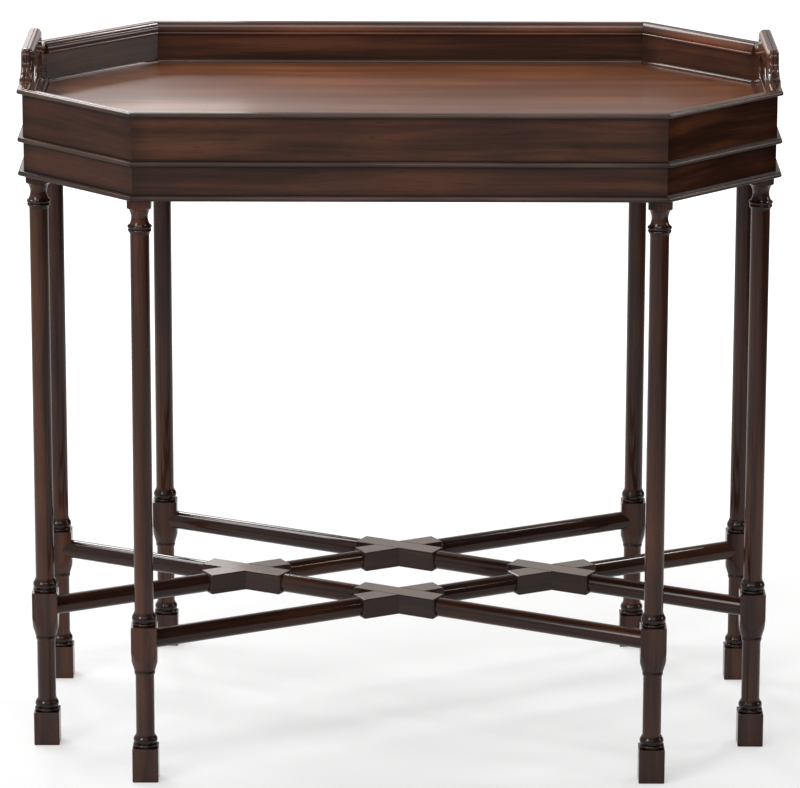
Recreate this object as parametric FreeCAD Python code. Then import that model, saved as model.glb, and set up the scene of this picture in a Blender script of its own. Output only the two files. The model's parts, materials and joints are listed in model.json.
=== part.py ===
import FreeCAD, Part
import math
import os

# Butlers tray table: an eight-sided tray with arched end handles that lifts off its stand.
# The stand is a mitred apron on eight turned legs, tied by four crossing stretchers.
# Millimetres, +Z up, the floor at zero, +X along the long sides, the front facing -Y.

Vector = FreeCAD.Vector

# Apron frame, measured over its outer faces
APRON_LENGTH = 775.0
APRON_WIDTH = 497.0
CORNER_CUT = 118.0
STAND_HEIGHT = 661.5
APRON_HEIGHT = 40.7
APRON_THICKNESS = 24.0
APRON_BEAD_HEIGHT = 5.3
APRON_BEAD_PROJECTION = 6.0

# Tray walls and bottom
TRAY_OVERHANG = 0.4
WALL_HEIGHT = 50.0
WALL_THICKNESS = 7.0
WALL_INNER_ROUND = 2.8
WALL_OUTER_ROUND = 1.2
RIM_BEAD_HEIGHT = 5.0
RIM_BEAD_PROJECTION = 5.6
BOTTOM_THICKNESS = 6.0
REBATE_WIDTH = 3.5
BOTTOM_GAP = 0.2
FLOOR_BEAD_RADIUS = 3.5
RIM_MOULDING_DROP = 3.0
RIM_MOULDING_HEIGHT = 10.2
RIM_MOULDING_TOP = 1.0
RIM_MOULDING_NOSE = 3.0

# Handles, raised from the end walls
LIP_HOLLOW_RADIUS = 4.0
LIP_ROUND_RADIUS = 8.0
LIP_TURN = 54.0
SWEEP_RADIUS = 36.0
SWEEP_TURN = 30.0
NECK_RADIUS = 11.0
SHOULDER_RADIUS = 9.0
HANDLE_FROM_CORNER = 31.8
HAND_HOLE_HEIGHT = 25.0
HAND_HOLE_SILL = 29.5
HAND_HOLE_ROUND = 2.2

# Where the leg axes stand, in from the apron faces and along them from the corners
LONG_SIDE_LEG_INSET = 16.0
LONG_SIDE_LEG_FROM_CORNER = 6.2
END_LEG_INSET = 13.5
END_LEG_FROM_CORNER = 16.9

# Turned legs
BLOCK_WIDTH = 26.9
FOOT_HEIGHT = 36.3
FOOT_RING_DIAMETER = 26.0
FOOT_RING_HEIGHT = 4.0
FOOT_BULB_DIAMETER = 25.0
FOOT_BULB_HEIGHT = 7.0
FOOT_TAPER = 3.2
LOWER_SHAFT_DIAMETER = 19.3
COLLAR_LOW = 133.0
COLLAR_HEIGHT = 35.7
COLLAR_TONGUE = 21.5
COLLAR_EASING = 1.6
COLLAR_RING_DIAMETER = 24.6
COLLAR_RING_HEIGHT = 3.0
COLLAR_BULB_DIAMETER = 25.5
COLLAR_BULB_HEIGHT = 8.2
COLLAR_TAPER = 3.7
BULB_QUIRK_DIAMETER = 22.4
SHAFT_DIAMETER = 19.8
RING_TAPER = 2.8
RING_HEIGHT = 3.8
RING_QUIRK_DIAMETER = 21.4
LOWER_RING_DIAMETER = 24.0
UPPER_RING_DIAMETER = 25.0
NECK_DIAMETER = 17.2
NECK_HEIGHT = 16.3
CAPITAL_WIDTH = 24.6
CAPITAL_HEIGHT = 11.6
CAPITAL_TONGUE = 3.4
CAPITAL_CROWN_DIAMETER = 22.6
LEG_TENON_DIAMETER = 11.0
LEG_TENON_LENGTH = 28.0

# Stretchers
STRETCHER_HEIGHT = 149.5
ROD_DIAMETER = 20.0
CROSSING_WIDTH = 25.4
CROSSING_DEPTH = 21.4
CROSSING_LENGTH = 98.0
CROSSING_ROUND = 2.4
ROD_TENON_DIAMETER = 10.0
ROD_TENON_STOP = 4.0

# Corner blocks behind the apron, battens under the tray, and their screws
CORNER_BLOCK_LENGTH = 55.0
CORNER_BLOCK_DEPTH = 20.0
CORNER_BLOCK_HEIGHT = 30.0
CORNER_BLOCK_DROP = 5.0
CORNER_BLOCK_FLAT = 26.0
BATTEN_WIDTH = 30.0
BATTEN_HEIGHT = 14.0
BATTEN_CLEARANCE = 3.0
BATTEN_END_SCREW = 40.0
SCREW_DIAMETER = 4.0
SCREW_HEAD_DIAMETER = 8.0
SCREW_SLOT_WIDTH = 1.0
SCREW_SLOT_DEPTH = 1.2
BLOCK_SCREW_BITE = 10.0
BATTEN_SCREW_BITE = 4.0

# Room round every peg and screw, the overrun of cuts, and how near a plane counts as on it
GLUE_GAP = 0.1
OVERRUN = 5.0
TOUCH = 0.05

# How far along and across a hollow its deepest point lies
COLLAR_FLARE_SHARES = (0.64, 0.36)
CAPITAL_FLARE_SHARES = (0.30, 0.35)
HOLLOW_SHARES = (0.85, 0.45)
BATTEN_SCREW_SHARES = (-0.5, 0.0, 0.5)

# The hand hole's share of the straight grip
HAND_HOLE_SHARE = 0.794

SIDES = ("front", "front_right", "right", "back_right", "back", "back_left", "left", "front_left")
END_SIDES = ("right", "left")
SIDE_ANGLE = 360.0 / len(SIDES)
MITRE_SLOPE = math.tan(math.radians(SIDE_ANGLE / 2))
UP = Vector(0, 0, 1)
ORIGIN = Vector(0, 0, 0)

APRON_LOW = STAND_HEIGHT - APRON_HEIGHT
RIM = STAND_HEIGHT + WALL_HEIGHT
FLOOR = STAND_HEIGHT + BOTTOM_THICKNESS
WALL_INSIDE = TRAY_OVERHANG - WALL_THICKNESS
SILL = STAND_HEIGHT + HAND_HOLE_SILL

os.makedirs("parts", exist_ok=True)


def save(name, *solids):
    """Write one node: a single solid, or a group of separate ones."""
    shape = solids[0] if len(solids) == 1 else Part.makeCompound(solids)
    shape.exportStep("parts/" + name + ".step")


# Drawing helpers

def polar(centre, radius, degrees):
    """The point of a circle at an angle, in a plane of two coordinates."""
    turn = math.radians(degrees)
    return (centre[0] + radius * math.cos(turn), centre[1] + radius * math.sin(turn))


def arc(centre, radius, start, end):
    """An outline step: the middle and end points of an arc."""
    return (polar(centre, radius, (start + end) / 2), polar(centre, radius, end))


def between(first, second, share):
    """A value part of the way from one to another."""
    return first + (second - first) * share


def edges_of(to_space, start, steps):
    """Join a start point and its steps, each a point or an arc, into edges."""
    edges = []
    here = to_space(start)
    for step in steps:
        is_arc = isinstance(step[0], tuple)
        there = to_space(step[1] if is_arc else step)
        if is_arc:
            edges.append(Part.Arc(here, to_space(step[0]), there).toShape())
        elif here.distanceToPoint(there) > TOUCH:
            edges.append(Part.LineSegment(here, there).toShape())
        here = there
    return edges


def face_of(to_space, start, *steps):
    """A flat face inside an outline that is closed back to its start."""
    return Part.Face(Part.Wire(edges_of(to_space, start, steps + (start,))))


def across(point):
    """Section of a side piece: distance outwards from the apron face, and height."""
    return Vector(0, -point[0], point[1])


def upright(point):
    """Elevation or turned profile: distance along or radius, and height."""
    return Vector(point[0], 0, point[1])


def slab(points, low, high):
    """An upright prism over a plan outline."""
    corners = [Vector(x, y, low) for x, y in points]
    return Part.Face(Part.makePolygon(corners + corners[:1])).extrude(UP * (high - low))


def turned(*outline):
    """A solid of revolution on the Z axis."""
    return face_of(upright, *outline).revolve(ORIGIN, UP, 360)


def only(shape):
    """The single solid of a cut or joined shape."""
    return shape.removeSplitter().Solids[0]


# The eight sides of the table

def face_middle(side):
    """The middle of an apron face: its place along the side, and its distance from the table's middle."""
    long_side = APRON_WIDTH / 2
    end = APRON_LENGTH / 2
    slide = (end - long_side) / math.sqrt(2)
    corner = (end + long_side - CORNER_CUT) / math.sqrt(2)
    return ((0, long_side), (slide, corner), (0, end), (-slide, corner))[side % 4]


def half_length(side):
    """Half the length of an apron face, corner to corner."""
    long_side = APRON_LENGTH / 2 - CORNER_CUT
    end = APRON_WIDTH / 2 - CORNER_CUT
    corner = CORNER_CUT / math.sqrt(2)
    return (long_side, corner, end, corner)[side % 4]


def place(shape, side):
    """Move a piece drawn along X, with the apron face at y = 0, to its side of the table."""
    along, outwards = face_middle(side)
    shape.translate(Vector(along, -outwards, 0))
    shape.rotate(ORIGIN, UP, SIDE_ANGLE * side)
    return shape


def corner_point(side, outwards):
    """Plan position of the first corner of a side, moved outwards from the apron faces."""
    along = half_length(side) + outwards * MITRE_SLOPE
    return place(Part.Vertex(Vector(-along, -outwards, 0)), side).Point


def reach(side, outwards):
    """Half the length of a bar before its mitres are cut."""
    return half_length(side) + outwards * MITRE_SLOPE + OVERRUN


def mitred(bar, side):
    """Cut both ends of a bar to the mitres that it shares with its neighbours, and place it."""
    box = bar.BoundBox
    inner = box.YMax + OVERRUN
    outer = box.YMin - OVERRUN
    near = half_length(side) - outer * MITRE_SLOPE
    far = half_length(side) - inner * MITRE_SLOPE
    plan = [(-near, outer), (near, outer), (far, inner), (-far, inner)]
    cutter = slab(plan, box.ZMin - OVERRUN, box.ZMax + OVERRUN)
    return place(only(bar.common(cutter)), side)


def side_strip(side, section):
    """A straight moulding or board along one side, from its section."""
    half = reach(side, max(0, -section.BoundBox.YMin))
    bar = section.extrude(Vector(2 * half, 0, 0))
    bar.translate(Vector(-half, 0, 0))
    return mitred(bar, side)


def bead_section(face, low, height, projection):
    """A half-round bead that stands out from a face."""
    nose = (face + projection - height / 2, low + height / 2)
    return face_of(across, (face, low), (nose[0], low), arc(nose, height / 2, -90, 90), (face, low + height))


def rim_bead_section():
    """The bead round the outside of the tray rim."""
    return bead_section(TRAY_OVERHANG, RIM - RIM_BEAD_HEIGHT, RIM_BEAD_HEIGHT, RIM_BEAD_PROJECTION)


# Tray

def straight_wall(side):
    """A tray wall with a rounded top and a rebate for the bottom board."""
    outer = (TRAY_OVERHANG - WALL_OUTER_ROUND, RIM - WALL_OUTER_ROUND)
    inner = (WALL_INSIDE + WALL_INNER_ROUND, RIM - WALL_INNER_ROUND)
    rebate = WALL_INSIDE + REBATE_WIDTH
    section = face_of(across, (TRAY_OVERHANG, STAND_HEIGHT), (TRAY_OVERHANG, outer[1]),
                      arc(outer, WALL_OUTER_ROUND, 0, 90), (inner[0], RIM),
                      arc(inner, WALL_INNER_ROUND, 90, 180), (WALL_INSIDE, FLOOR),
                      (rebate, FLOOR), (rebate, STAND_HEIGHT))
    return side_strip(side, section)


def handle_turns(inset):
    """The bends of a handle from rim to grip: radius, and turn upwards in degrees."""
    return ((LIP_HOLLOW_RADIUS + inset, LIP_TURN), (LIP_ROUND_RADIUS - inset, -LIP_TURN),
            (SWEEP_RADIUS + inset, SWEEP_TURN), (NECK_RADIUS + inset, 90 - SWEEP_TURN),
            (SHOULDER_RADIUS - inset, -90))


def handle_bends(inset):
    """The bends as outline steps from the start of the lip, and the end of the last of them."""
    here = (0, RIM - inset)
    bearing = 0
    steps = []
    for radius, turn in handle_turns(inset):
        left = math.copysign(90, turn)
        centre = polar(here, radius, bearing + left)
        steps.append(arc(centre, radius, bearing - left, bearing - left + turn))
        bearing += turn
        here = steps[-1][1]
    return steps, here


def half_grip():
    """Half the length of the grip between its shoulders, which follows the length of the end."""
    bends = handle_bends(0)[1][0] - SHOULDER_RADIUS
    return half_length(SIDES.index("right")) - HANDLE_FROM_CORNER - bends


def half_hand_hole():
    """Half the length of the hand hole, which keeps its share of the grip."""
    return half_grip() * HAND_HOLE_SHARE


def handle_line(half, inset):
    """The top of an end wall over its handle, or a line inset below it, as edges."""
    steps, last = handle_bends(inset)
    shift = last[0] - SHOULDER_RADIUS + half_grip()
    moved = [tuple((point[0] - shift, point[1]) for point in step) for step in steps]
    path = [(-shift, RIM - inset)] + moved + [(0, last[1])]
    left = edges_of(upright, (-half, RIM - inset), path)
    return left + [edge.mirror(ORIGIN, Vector(1, 0, 0)) for edge in left]


def hand_hole():
    """The long rounded hole that the fingers go through, drawn along X."""
    end = HAND_HOLE_HEIGHT / 2
    straight = half_hand_hole() - end
    face = face_of(upright, (-straight, SILL), (straight, SILL), arc((straight, SILL + end), end, -90, 90),
                   (-straight, SILL + HAND_HOLE_HEIGHT), arc((-straight, SILL + end), end, 90, 270))
    hole = face.extrude(Vector(0, WALL_THICKNESS + 2 * OVERRUN, 0))
    hole.translate(Vector(0, -TRAY_OVERHANG - OVERRUN, 0))
    return hole


def rounded(solid, depth, radius, half, low, high):
    """Round the edges on the face at one depth that lie inside a window of that face."""
    edges = []
    for edge in solid.Edges:
        box = edge.BoundBox
        on_face = max(abs(box.YMin - depth), abs(box.YMax - depth)) < TOUCH
        in_width = max(-box.XMin, box.XMax) < half + TOUCH
        if on_face and in_width and box.ZMin > low - TOUCH and box.ZMax < high + TOUCH:
            edges.append(edge)
    return solid.makeFillet(radius, edges)


def end_wall(side):
    """An end wall that rises into an arched handle with a hand hole."""
    half = reach(side, TRAY_OVERHANG)
    foot = [(half, STAND_HEIGHT), (-half, STAND_HEIGHT), (-half, RIM)]
    outline = handle_line(half, 0) + edges_of(upright, (half, RIM), foot)
    wall = Part.Face(Part.Wire(Part.__sortEdges__(outline))).extrude(Vector(0, WALL_THICKNESS, 0))
    wall.translate(Vector(0, -TRAY_OVERHANG, 0))
    top = wall.BoundBox.ZMax
    wall = rounded(wall, -TRAY_OVERHANG, WALL_OUTER_ROUND, half, RIM, top)
    wall = rounded(wall, -WALL_INSIDE, WALL_INNER_ROUND, half, RIM, top)
    wall = wall.cut(hand_hole())
    for depth in (-TRAY_OVERHANG, -WALL_INSIDE):
        wall = rounded(wall, depth, HAND_HOLE_ROUND, half_hand_hole(), SILL, SILL + HAND_HOLE_HEIGHT)
    rebate = Part.makeBox(2 * half, REBATE_WIDTH + OVERRUN, BOTTOM_THICKNESS + OVERRUN,
                          Vector(-half, -WALL_INSIDE - REBATE_WIDTH, STAND_HEIGHT - OVERRUN))
    return mitred(wall.cut(rebate), side)


def end_rim_bead(side):
    """The rim bead of an end wall, bent to follow the handle."""
    section = rim_bead_section()
    half = reach(side, -section.BoundBox.YMin)
    section.translate(Vector(-half, 0, 0))
    line = Part.Wire(Part.__sortEdges__(handle_line(half, RIM_BEAD_HEIGHT / 2)))
    return mitred(line.makePipeShell([section.OuterWire], True, False), side)


def rim_moulding(side):
    """The hollow moulding planted inside the wall, under its rounded top."""
    top = RIM - RIM_MOULDING_DROP
    low = top - RIM_MOULDING_HEIGHT
    nose = (WALL_INSIDE - RIM_MOULDING_NOSE / 2, low + RIM_MOULDING_NOSE / 2)
    brow = (WALL_INSIDE - RIM_MOULDING_TOP, top)
    hollow = (between(nose[0], brow[0], HOLLOW_SHARES[0]), between(nose[1], top, HOLLOW_SHARES[1]))
    return side_strip(side, face_of(across, (WALL_INSIDE, low), (nose[0], low),
                                    arc(nose, RIM_MOULDING_NOSE / 2, 270, 90),
                                    (hollow, brow), (WALL_INSIDE, top)))


def floor_bead(side):
    """The quarter-round that covers the joint of wall and bottom."""
    heel = (WALL_INSIDE, FLOOR)
    return side_strip(side, face_of(across, heel, (WALL_INSIDE, FLOOR + FLOOR_BEAD_RADIUS),
                                    arc(heel, FLOOR_BEAD_RADIUS, 90, 180)))


def tray_bottom():
    """The bottom board, let into the rebates of the walls."""
    outwards = WALL_INSIDE + REBATE_WIDTH - BOTTOM_GAP
    corners = [corner_point(side, outwards) for side in range(len(SIDES))]
    board = slab([(corner.x, corner.y) for corner in corners], STAND_HEIGHT, FLOOR)
    holes = batten_screws(1, GLUE_GAP) + batten_screws(-1, GLUE_GAP)
    return only(board.cut(Part.makeCompound(holes)))


def batten_length():
    """The length of a batten, which drops between the long rails."""
    return APRON_WIDTH - 2 * (APRON_THICKNESS + BATTEN_CLEARANCE)


def batten_middle():
    """How far a batten lies from the middle: just inside the corner blocks."""
    corner = corner_point(SIDES.index("front"), -APRON_THICKNESS)
    return abs(corner.x) - CORNER_BLOCK_LENGTH - BATTEN_CLEARANCE - BATTEN_WIDTH / 2


def batten(hand):
    """A batten under the tray that keeps it in place on the stand."""
    length = batten_length()
    corner = Vector(hand * batten_middle() - BATTEN_WIDTH / 2, -length / 2, STAND_HEIGHT - BATTEN_HEIGHT)
    body = Part.makeBox(BATTEN_WIDTH, length, BATTEN_HEIGHT, corner)
    return only(body.cut(Part.makeCompound(batten_screws(hand, GLUE_GAP))))


# Screws

def screw(length, gap):
    """A slotted countersunk screw pointing up from the middle of its head, or with a gap its hole."""
    shank = SCREW_DIAMETER / 2 + gap
    head = SCREW_HEAD_DIAMETER / 2 + gap
    end = length + gap
    body = turned((0, 0), (head, 0), (shank, head - shank), (shank, end - shank), (0, end))
    if gap:
        return body
    slot = Part.makeBox(SCREW_HEAD_DIAMETER, SCREW_SLOT_WIDTH, SCREW_SLOT_DEPTH + OVERRUN,
                        Vector(-SCREW_HEAD_DIAMETER / 2, -SCREW_SLOT_WIDTH / 2, -OVERRUN))
    return only(body.cut(slot))


def batten_screws(hand, gap=0):
    """The screws that hold one batten up to the tray bottom, or their holes."""
    span = batten_length() - 2 * BATTEN_END_SCREW
    screws = []
    for share in BATTEN_SCREW_SHARES:
        body = screw(BATTEN_HEIGHT + BATTEN_SCREW_BITE, gap)
        body.translate(Vector(hand * batten_middle(), span * share, STAND_HEIGHT - BATTEN_HEIGHT))
        screws.append(body)
    return screws


def block_screws(gap=0):
    """The screws that hold the corner blocks, two to a block, or their holes."""
    height = STAND_HEIGHT - CORNER_BLOCK_DROP - CORNER_BLOCK_HEIGHT / 2
    screws = []
    for side in range(len(SIDES)):
        corner = half_length(side) - APRON_THICKNESS * MITRE_SLOPE
        along = corner - CORNER_BLOCK_LENGTH + CORNER_BLOCK_FLAT / 2
        for hand in (-1, 1):
            body = screw(CORNER_BLOCK_DEPTH + BLOCK_SCREW_BITE, gap)
            body.rotate(ORIGIN, Vector(1, 0, 0), 90)
            body.translate(Vector(hand * along, APRON_THICKNESS + CORNER_BLOCK_DEPTH, height))
            screws.append(place(body, side))
    return screws


# Legs

def leg_places():
    """Plan position of each leg axis, by name."""
    long_x = APRON_LENGTH / 2 - CORNER_CUT - LONG_SIDE_LEG_FROM_CORNER
    long_y = APRON_WIDTH / 2 - LONG_SIDE_LEG_INSET
    end_x = APRON_LENGTH / 2 - END_LEG_INSET
    end_y = APRON_WIDTH / 2 - CORNER_CUT - END_LEG_FROM_CORNER
    places = {}
    for y_name, y_sign in (("front", -1), ("back", 1)):
        for x_name, x_sign in (("left", -1), ("right", 1)):
            places[y_name + "_" + x_name] = Vector(x_sign * long_x, y_sign * long_y, 0)
            places[x_name + "_" + y_name] = Vector(x_sign * end_x, y_sign * end_y, 0)
    return places


LEGS = leg_places()
RISING = (("front_left", "right_back"), ("left_front", "back_right"))
FALLING = (("front_right", "left_back"), ("right_front", "back_left"))


def square_block(width, low, high):
    """A square block on the leg axis."""
    return Part.makeBox(width, width, high - low, Vector(-width / 2, -width / 2, low))


def tongued_block(width, low, tongue, high, easing, waist, shares):
    """A square block whose lower corners are turned down to a waist, with its top corners eased."""
    corner = width / math.sqrt(2) + TOUCH
    hip = (between(waist, corner, shares[1]), between(low, low + tongue, shares[0]))
    barrel = turned((0, low), (waist, low), (hip, (corner, low + tongue)), (corner, high - easing),
                    (corner - easing, high), (0, high))
    return square_block(width, low, high).common(barrel)


def stacked_rings(low, ring, ring_height, bulb, bulb_height, taper, shaft):
    """The steps of a turned ring and a bulb over it, from the quirk under the ring to the shaft."""
    quirk = BULB_QUIRK_DIAMETER / 2
    middle = low + ring_height
    high = middle + bulb_height
    return [(quirk, low), ((ring / 2, (low + middle) / 2), (quirk, middle)),
            ((bulb / 2, (middle + high) / 2), (quirk, high)), (shaft, high + taper)]


def foot_turning():
    """The turned outline from the floor to the bulb over the collar block."""
    shaft = LOWER_SHAFT_DIAMETER / 2
    foot = stacked_rings(FOOT_HEIGHT, FOOT_RING_DIAMETER, FOOT_RING_HEIGHT, FOOT_BULB_DIAMETER, FOOT_BULB_HEIGHT,
                         FOOT_TAPER, shaft)
    collar = stacked_rings(COLLAR_LOW + COLLAR_HEIGHT, COLLAR_RING_DIAMETER, COLLAR_RING_HEIGHT,
                           COLLAR_BULB_DIAMETER, COLLAR_BULB_HEIGHT, COLLAR_TAPER, SHAFT_DIAMETER / 2)
    return [(0, 0), (shaft, 0), (shaft, FOOT_HEIGHT), *foot, (shaft, COLLAR_LOW + COLLAR_HEIGHT), *collar]


def head_turning():
    """The turned outline from the top of the shaft through rings, neck and capital to the tenon."""
    capital = APRON_LOW - CAPITAL_HEIGHT
    neck = capital - NECK_HEIGHT
    joint = neck - RING_HEIGHT
    low = joint - RING_HEIGHT
    quirk = RING_QUIRK_DIAMETER / 2
    crown = CAPITAL_CROWN_DIAMETER / 2
    tenon = LEG_TENON_DIAMETER / 2
    top = APRON_LOW + LEG_TENON_LENGTH
    return [(SHAFT_DIAMETER / 2, low - RING_TAPER), (quirk, low),
            ((LOWER_RING_DIAMETER / 2, (low + joint) / 2), (quirk, joint)),
            ((UPPER_RING_DIAMETER / 2, (joint + neck) / 2), (quirk, neck)),
            ((NECK_DIAMETER / 2, (neck + capital) / 2), (crown, capital)),
            (crown, APRON_LOW), (tenon, APRON_LOW), (tenon, top), (0, top)]


def plain_leg():
    """A turned leg on the Z axis, before its stretcher hole is bored."""
    foot = square_block(BLOCK_WIDTH, 0, FOOT_HEIGHT)
    collar = tongued_block(BLOCK_WIDTH, COLLAR_LOW - COLLAR_TONGUE, COLLAR_TONGUE, COLLAR_LOW + COLLAR_HEIGHT,
                           COLLAR_EASING, LOWER_SHAFT_DIAMETER / 2, COLLAR_FLARE_SHARES)
    capital = tongued_block(CAPITAL_WIDTH, APRON_LOW - CAPITAL_HEIGHT, CAPITAL_TONGUE, APRON_LOW,
                            0, CAPITAL_CROWN_DIAMETER / 2, CAPITAL_FLARE_SHARES)
    return only(turned(*foot_turning(), *head_turning()).multiFuse([foot, collar, capital]))


def heading(start, end):
    """Unit direction in plan from one leg to another."""
    return (LEGS[end] - LEGS[start]).normalize()


def rod_tenon(start, end, gap=0):
    """The round tenon at the start of a stretcher, or with a gap the hole for it."""
    way = heading(start, end)
    origin = LEGS[start] + way * (ROD_TENON_STOP - gap) + UP * STRETCHER_HEIGHT
    return Part.makeCylinder(ROD_TENON_DIAMETER / 2 + gap, BLOCK_WIDTH, origin, way)


def leg(name, blank):
    """One leg at its place, bored for its stretcher."""
    body = blank.copy()
    body.translate(LEGS[name])
    for pair in RISING + FALLING:
        if name in pair:
            other = pair[1 - pair.index(name)]
            body = body.cut(rod_tenon(name, other, GLUE_GAP))
    return only(body)


# Stretchers

def crossing(pair, other):
    """Plan position where two stretchers cross."""
    start = LEGS[pair[0]]
    way = heading(*pair)
    gap = LEGS[other[0]] - start
    cross = heading(*other)
    return start + way * (gap.cross(cross).z / way.cross(cross).z)


def crossing_block(pair, centre, low, high):
    """The squared length of a stretcher about a crossing, between two heights."""
    block = Part.makeBox(CROSSING_LENGTH, CROSSING_WIDTH, high - low,
                         Vector(-CROSSING_LENGTH / 2, -CROSSING_WIDTH / 2, low))
    way = heading(*pair)
    block.rotate(ORIGIN, UP, math.degrees(math.atan2(way.y, way.x)))
    block.translate(centre)
    return block


def shouldered_block(pair, centre):
    """The squared part of a stretcher, rounded at the shoulders where it meets the rod."""
    low = STRETCHER_HEIGHT - CROSSING_DEPTH / 2
    block = crossing_block(pair, centre, low, low + CROSSING_DEPTH)
    way = heading(*pair)
    rims = []
    for face in block.Faces:
        offset = abs((face.CenterOfMass - centre).dot(way))
        if abs(offset - CROSSING_LENGTH / 2) < TOUCH:
            rims.extend(face.Edges)
    return block.makeFillet(CROSSING_ROUND, rims)


def stretcher(pair, others, low, high):
    """A round rod squared at its crossings, where it is cut away between two heights for the others."""
    start, end = pair
    length = (LEGS[end] - LEGS[start]).Length
    rod = Part.makeCylinder(ROD_DIAMETER / 2, length, LEGS[start] + UP * STRETCHER_HEIGHT, heading(*pair))
    for name in pair:
        collar = square_block(BLOCK_WIDTH, COLLAR_LOW, COLLAR_LOW + COLLAR_HEIGHT)
        collar.translate(LEGS[name])
        rod = rod.cut(collar)
    centres = [crossing(pair, other) for other in others]
    joined = [rod_tenon(start, end), rod_tenon(end, start)]
    rod = rod.multiFuse(joined + [shouldered_block(pair, centre) for centre in centres])
    for other, centre in zip(others, centres):
        rod = rod.cut(crossing_block(other, centre, low, high))
    return only(rod)


# Apron

def leg_bores():
    """The holes in the apron that the leg tenons go up into."""
    bores = []
    for position in LEGS.values():
        depth = LEG_TENON_LENGTH + GLUE_GAP + OVERRUN
        origin = position + UP * (APRON_LOW - OVERRUN)
        bores.append(Part.makeCylinder(LEG_TENON_DIAMETER / 2 + GLUE_GAP, depth, origin, UP))
    return bores


def apron_rail(side, holes):
    """One mitred rail of the apron, bored for legs and screws."""
    section = face_of(across, (0, APRON_LOW), (0, STAND_HEIGHT), (-APRON_THICKNESS, STAND_HEIGHT),
                      (-APRON_THICKNESS, APRON_LOW))
    return only(side_strip(side, section).cut(holes))


def apron_bead(side, low):
    """A half-round bead along the face of one rail."""
    return side_strip(side, bead_section(0, low, APRON_BEAD_HEIGHT, APRON_BEAD_PROJECTION))


def corner_block(side, holes):
    """A glue block in the first corner of a side, with flats for its screws."""
    corner = corner_point(side, -APRON_THICKNESS)
    arms = []
    for index, hand in ((side, 1), (side - 1, -1)):
        turn = math.radians(SIDE_ANGLE * index)
        along = Vector(math.cos(turn), math.sin(turn), 0) * hand
        depth = Vector(-math.sin(turn), math.cos(turn), 0) * CORNER_BLOCK_DEPTH
        tail = corner + along * CORNER_BLOCK_LENGTH
        arms.append([tail, tail + depth, tail + depth - along * CORNER_BLOCK_FLAT])
    outline = [corner] + arms[0] + arms[1][::-1]
    high = STAND_HEIGHT - CORNER_BLOCK_DROP
    body = slab([(point.x, point.y) for point in outline], high - CORNER_BLOCK_HEIGHT, high)
    return only(body.cut(holes))


def build_tray():
    """Write every piece of the tray."""
    save("tray_bottom", tray_bottom())
    straight = []
    for side, name in enumerate(SIDES):
        if name in END_SIDES:
            wall, bead = end_wall(side), end_rim_bead(side)
        else:
            wall, bead = straight_wall(side), side_strip(side, rim_bead_section())
            straight.append(side)
        save("tray_wall_" + name, wall)
        save("rim_bead_" + name, bead)
    save("rim_inner_mouldings", *[rim_moulding(side) for side in straight])
    save("floor_beads", *[floor_bead(side) for side in range(len(SIDES))])
    for name, hand in (("left", -1), ("right", 1)):
        save("tray_batten_" + name, batten(hand))
    save("batten_screws", *batten_screws(-1), *batten_screws(1))


def build_stand():
    """Write every piece of the stand."""
    holes = Part.makeCompound(leg_bores() + block_screws(GLUE_GAP))
    for side, name in enumerate(SIDES):
        save("apron_rail_" + name, apron_rail(side, holes))
        save("apron_top_bead_" + name, apron_bead(side, STAND_HEIGHT - APRON_BEAD_HEIGHT))
        save("apron_low_bead_" + name, apron_bead(side, APRON_LOW))
    save("corner_blocks", *[corner_block(side, holes) for side in range(len(SIDES))])
    save("corner_block_screws", *block_screws())
    blank = plain_leg()
    for name in LEGS:
        save("leg_" + name, leg(name, blank))
    top = STRETCHER_HEIGHT + CROSSING_DEPTH
    bottom = STRETCHER_HEIGHT - CROSSING_DEPTH
    for pairs, others, low, high in ((RISING, FALLING, STRETCHER_HEIGHT, top),
                                     (FALLING, RISING, bottom, STRETCHER_HEIGHT)):
        for pair in pairs:
            save("stretcher_" + pair[0] + "_to_" + pair[1], stretcher(pair, others, low, high))


build_tray()
build_stand()
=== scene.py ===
"""Butlers tray table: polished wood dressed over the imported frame. Metres, +Z up, the front facing -Y."""

import json
import logging
import math
from dataclasses import dataclass, field
from enum import Enum
from typing import Iterable, Optional, Sequence, Union

import bmesh
import bpy
from mathutils import Matrix, Vector
from mathutils.geometry import tessellate_polygon

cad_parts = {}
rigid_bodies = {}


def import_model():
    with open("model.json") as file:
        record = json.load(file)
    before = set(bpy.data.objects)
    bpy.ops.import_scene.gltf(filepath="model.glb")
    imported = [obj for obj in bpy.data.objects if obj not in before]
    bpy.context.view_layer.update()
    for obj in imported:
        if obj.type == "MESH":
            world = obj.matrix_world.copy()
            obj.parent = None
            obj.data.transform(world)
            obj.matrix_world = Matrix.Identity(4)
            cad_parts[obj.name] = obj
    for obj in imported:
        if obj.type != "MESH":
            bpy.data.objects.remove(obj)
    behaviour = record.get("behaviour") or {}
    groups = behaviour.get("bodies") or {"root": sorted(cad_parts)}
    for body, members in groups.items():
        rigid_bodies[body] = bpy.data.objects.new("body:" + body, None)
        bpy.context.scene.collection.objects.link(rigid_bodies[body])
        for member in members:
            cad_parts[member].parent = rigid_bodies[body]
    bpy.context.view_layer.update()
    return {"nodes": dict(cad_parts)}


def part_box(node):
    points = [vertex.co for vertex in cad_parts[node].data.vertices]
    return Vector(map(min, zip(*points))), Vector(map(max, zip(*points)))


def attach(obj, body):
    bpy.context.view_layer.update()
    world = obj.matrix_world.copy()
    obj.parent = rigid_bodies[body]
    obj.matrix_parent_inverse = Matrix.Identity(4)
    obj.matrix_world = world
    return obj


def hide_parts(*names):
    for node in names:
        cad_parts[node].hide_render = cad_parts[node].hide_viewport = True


LOG = logging.getLogger("tray_table")
MM = 0.001
GRAIN = "grain"
# Vertex attribute with the painted shade: how far each point darkens towards the finish's shade colour
PAINTED_SHADE = "painted_shade"
MITRE_SLOPE = math.tan(math.radians(22.5))
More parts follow.
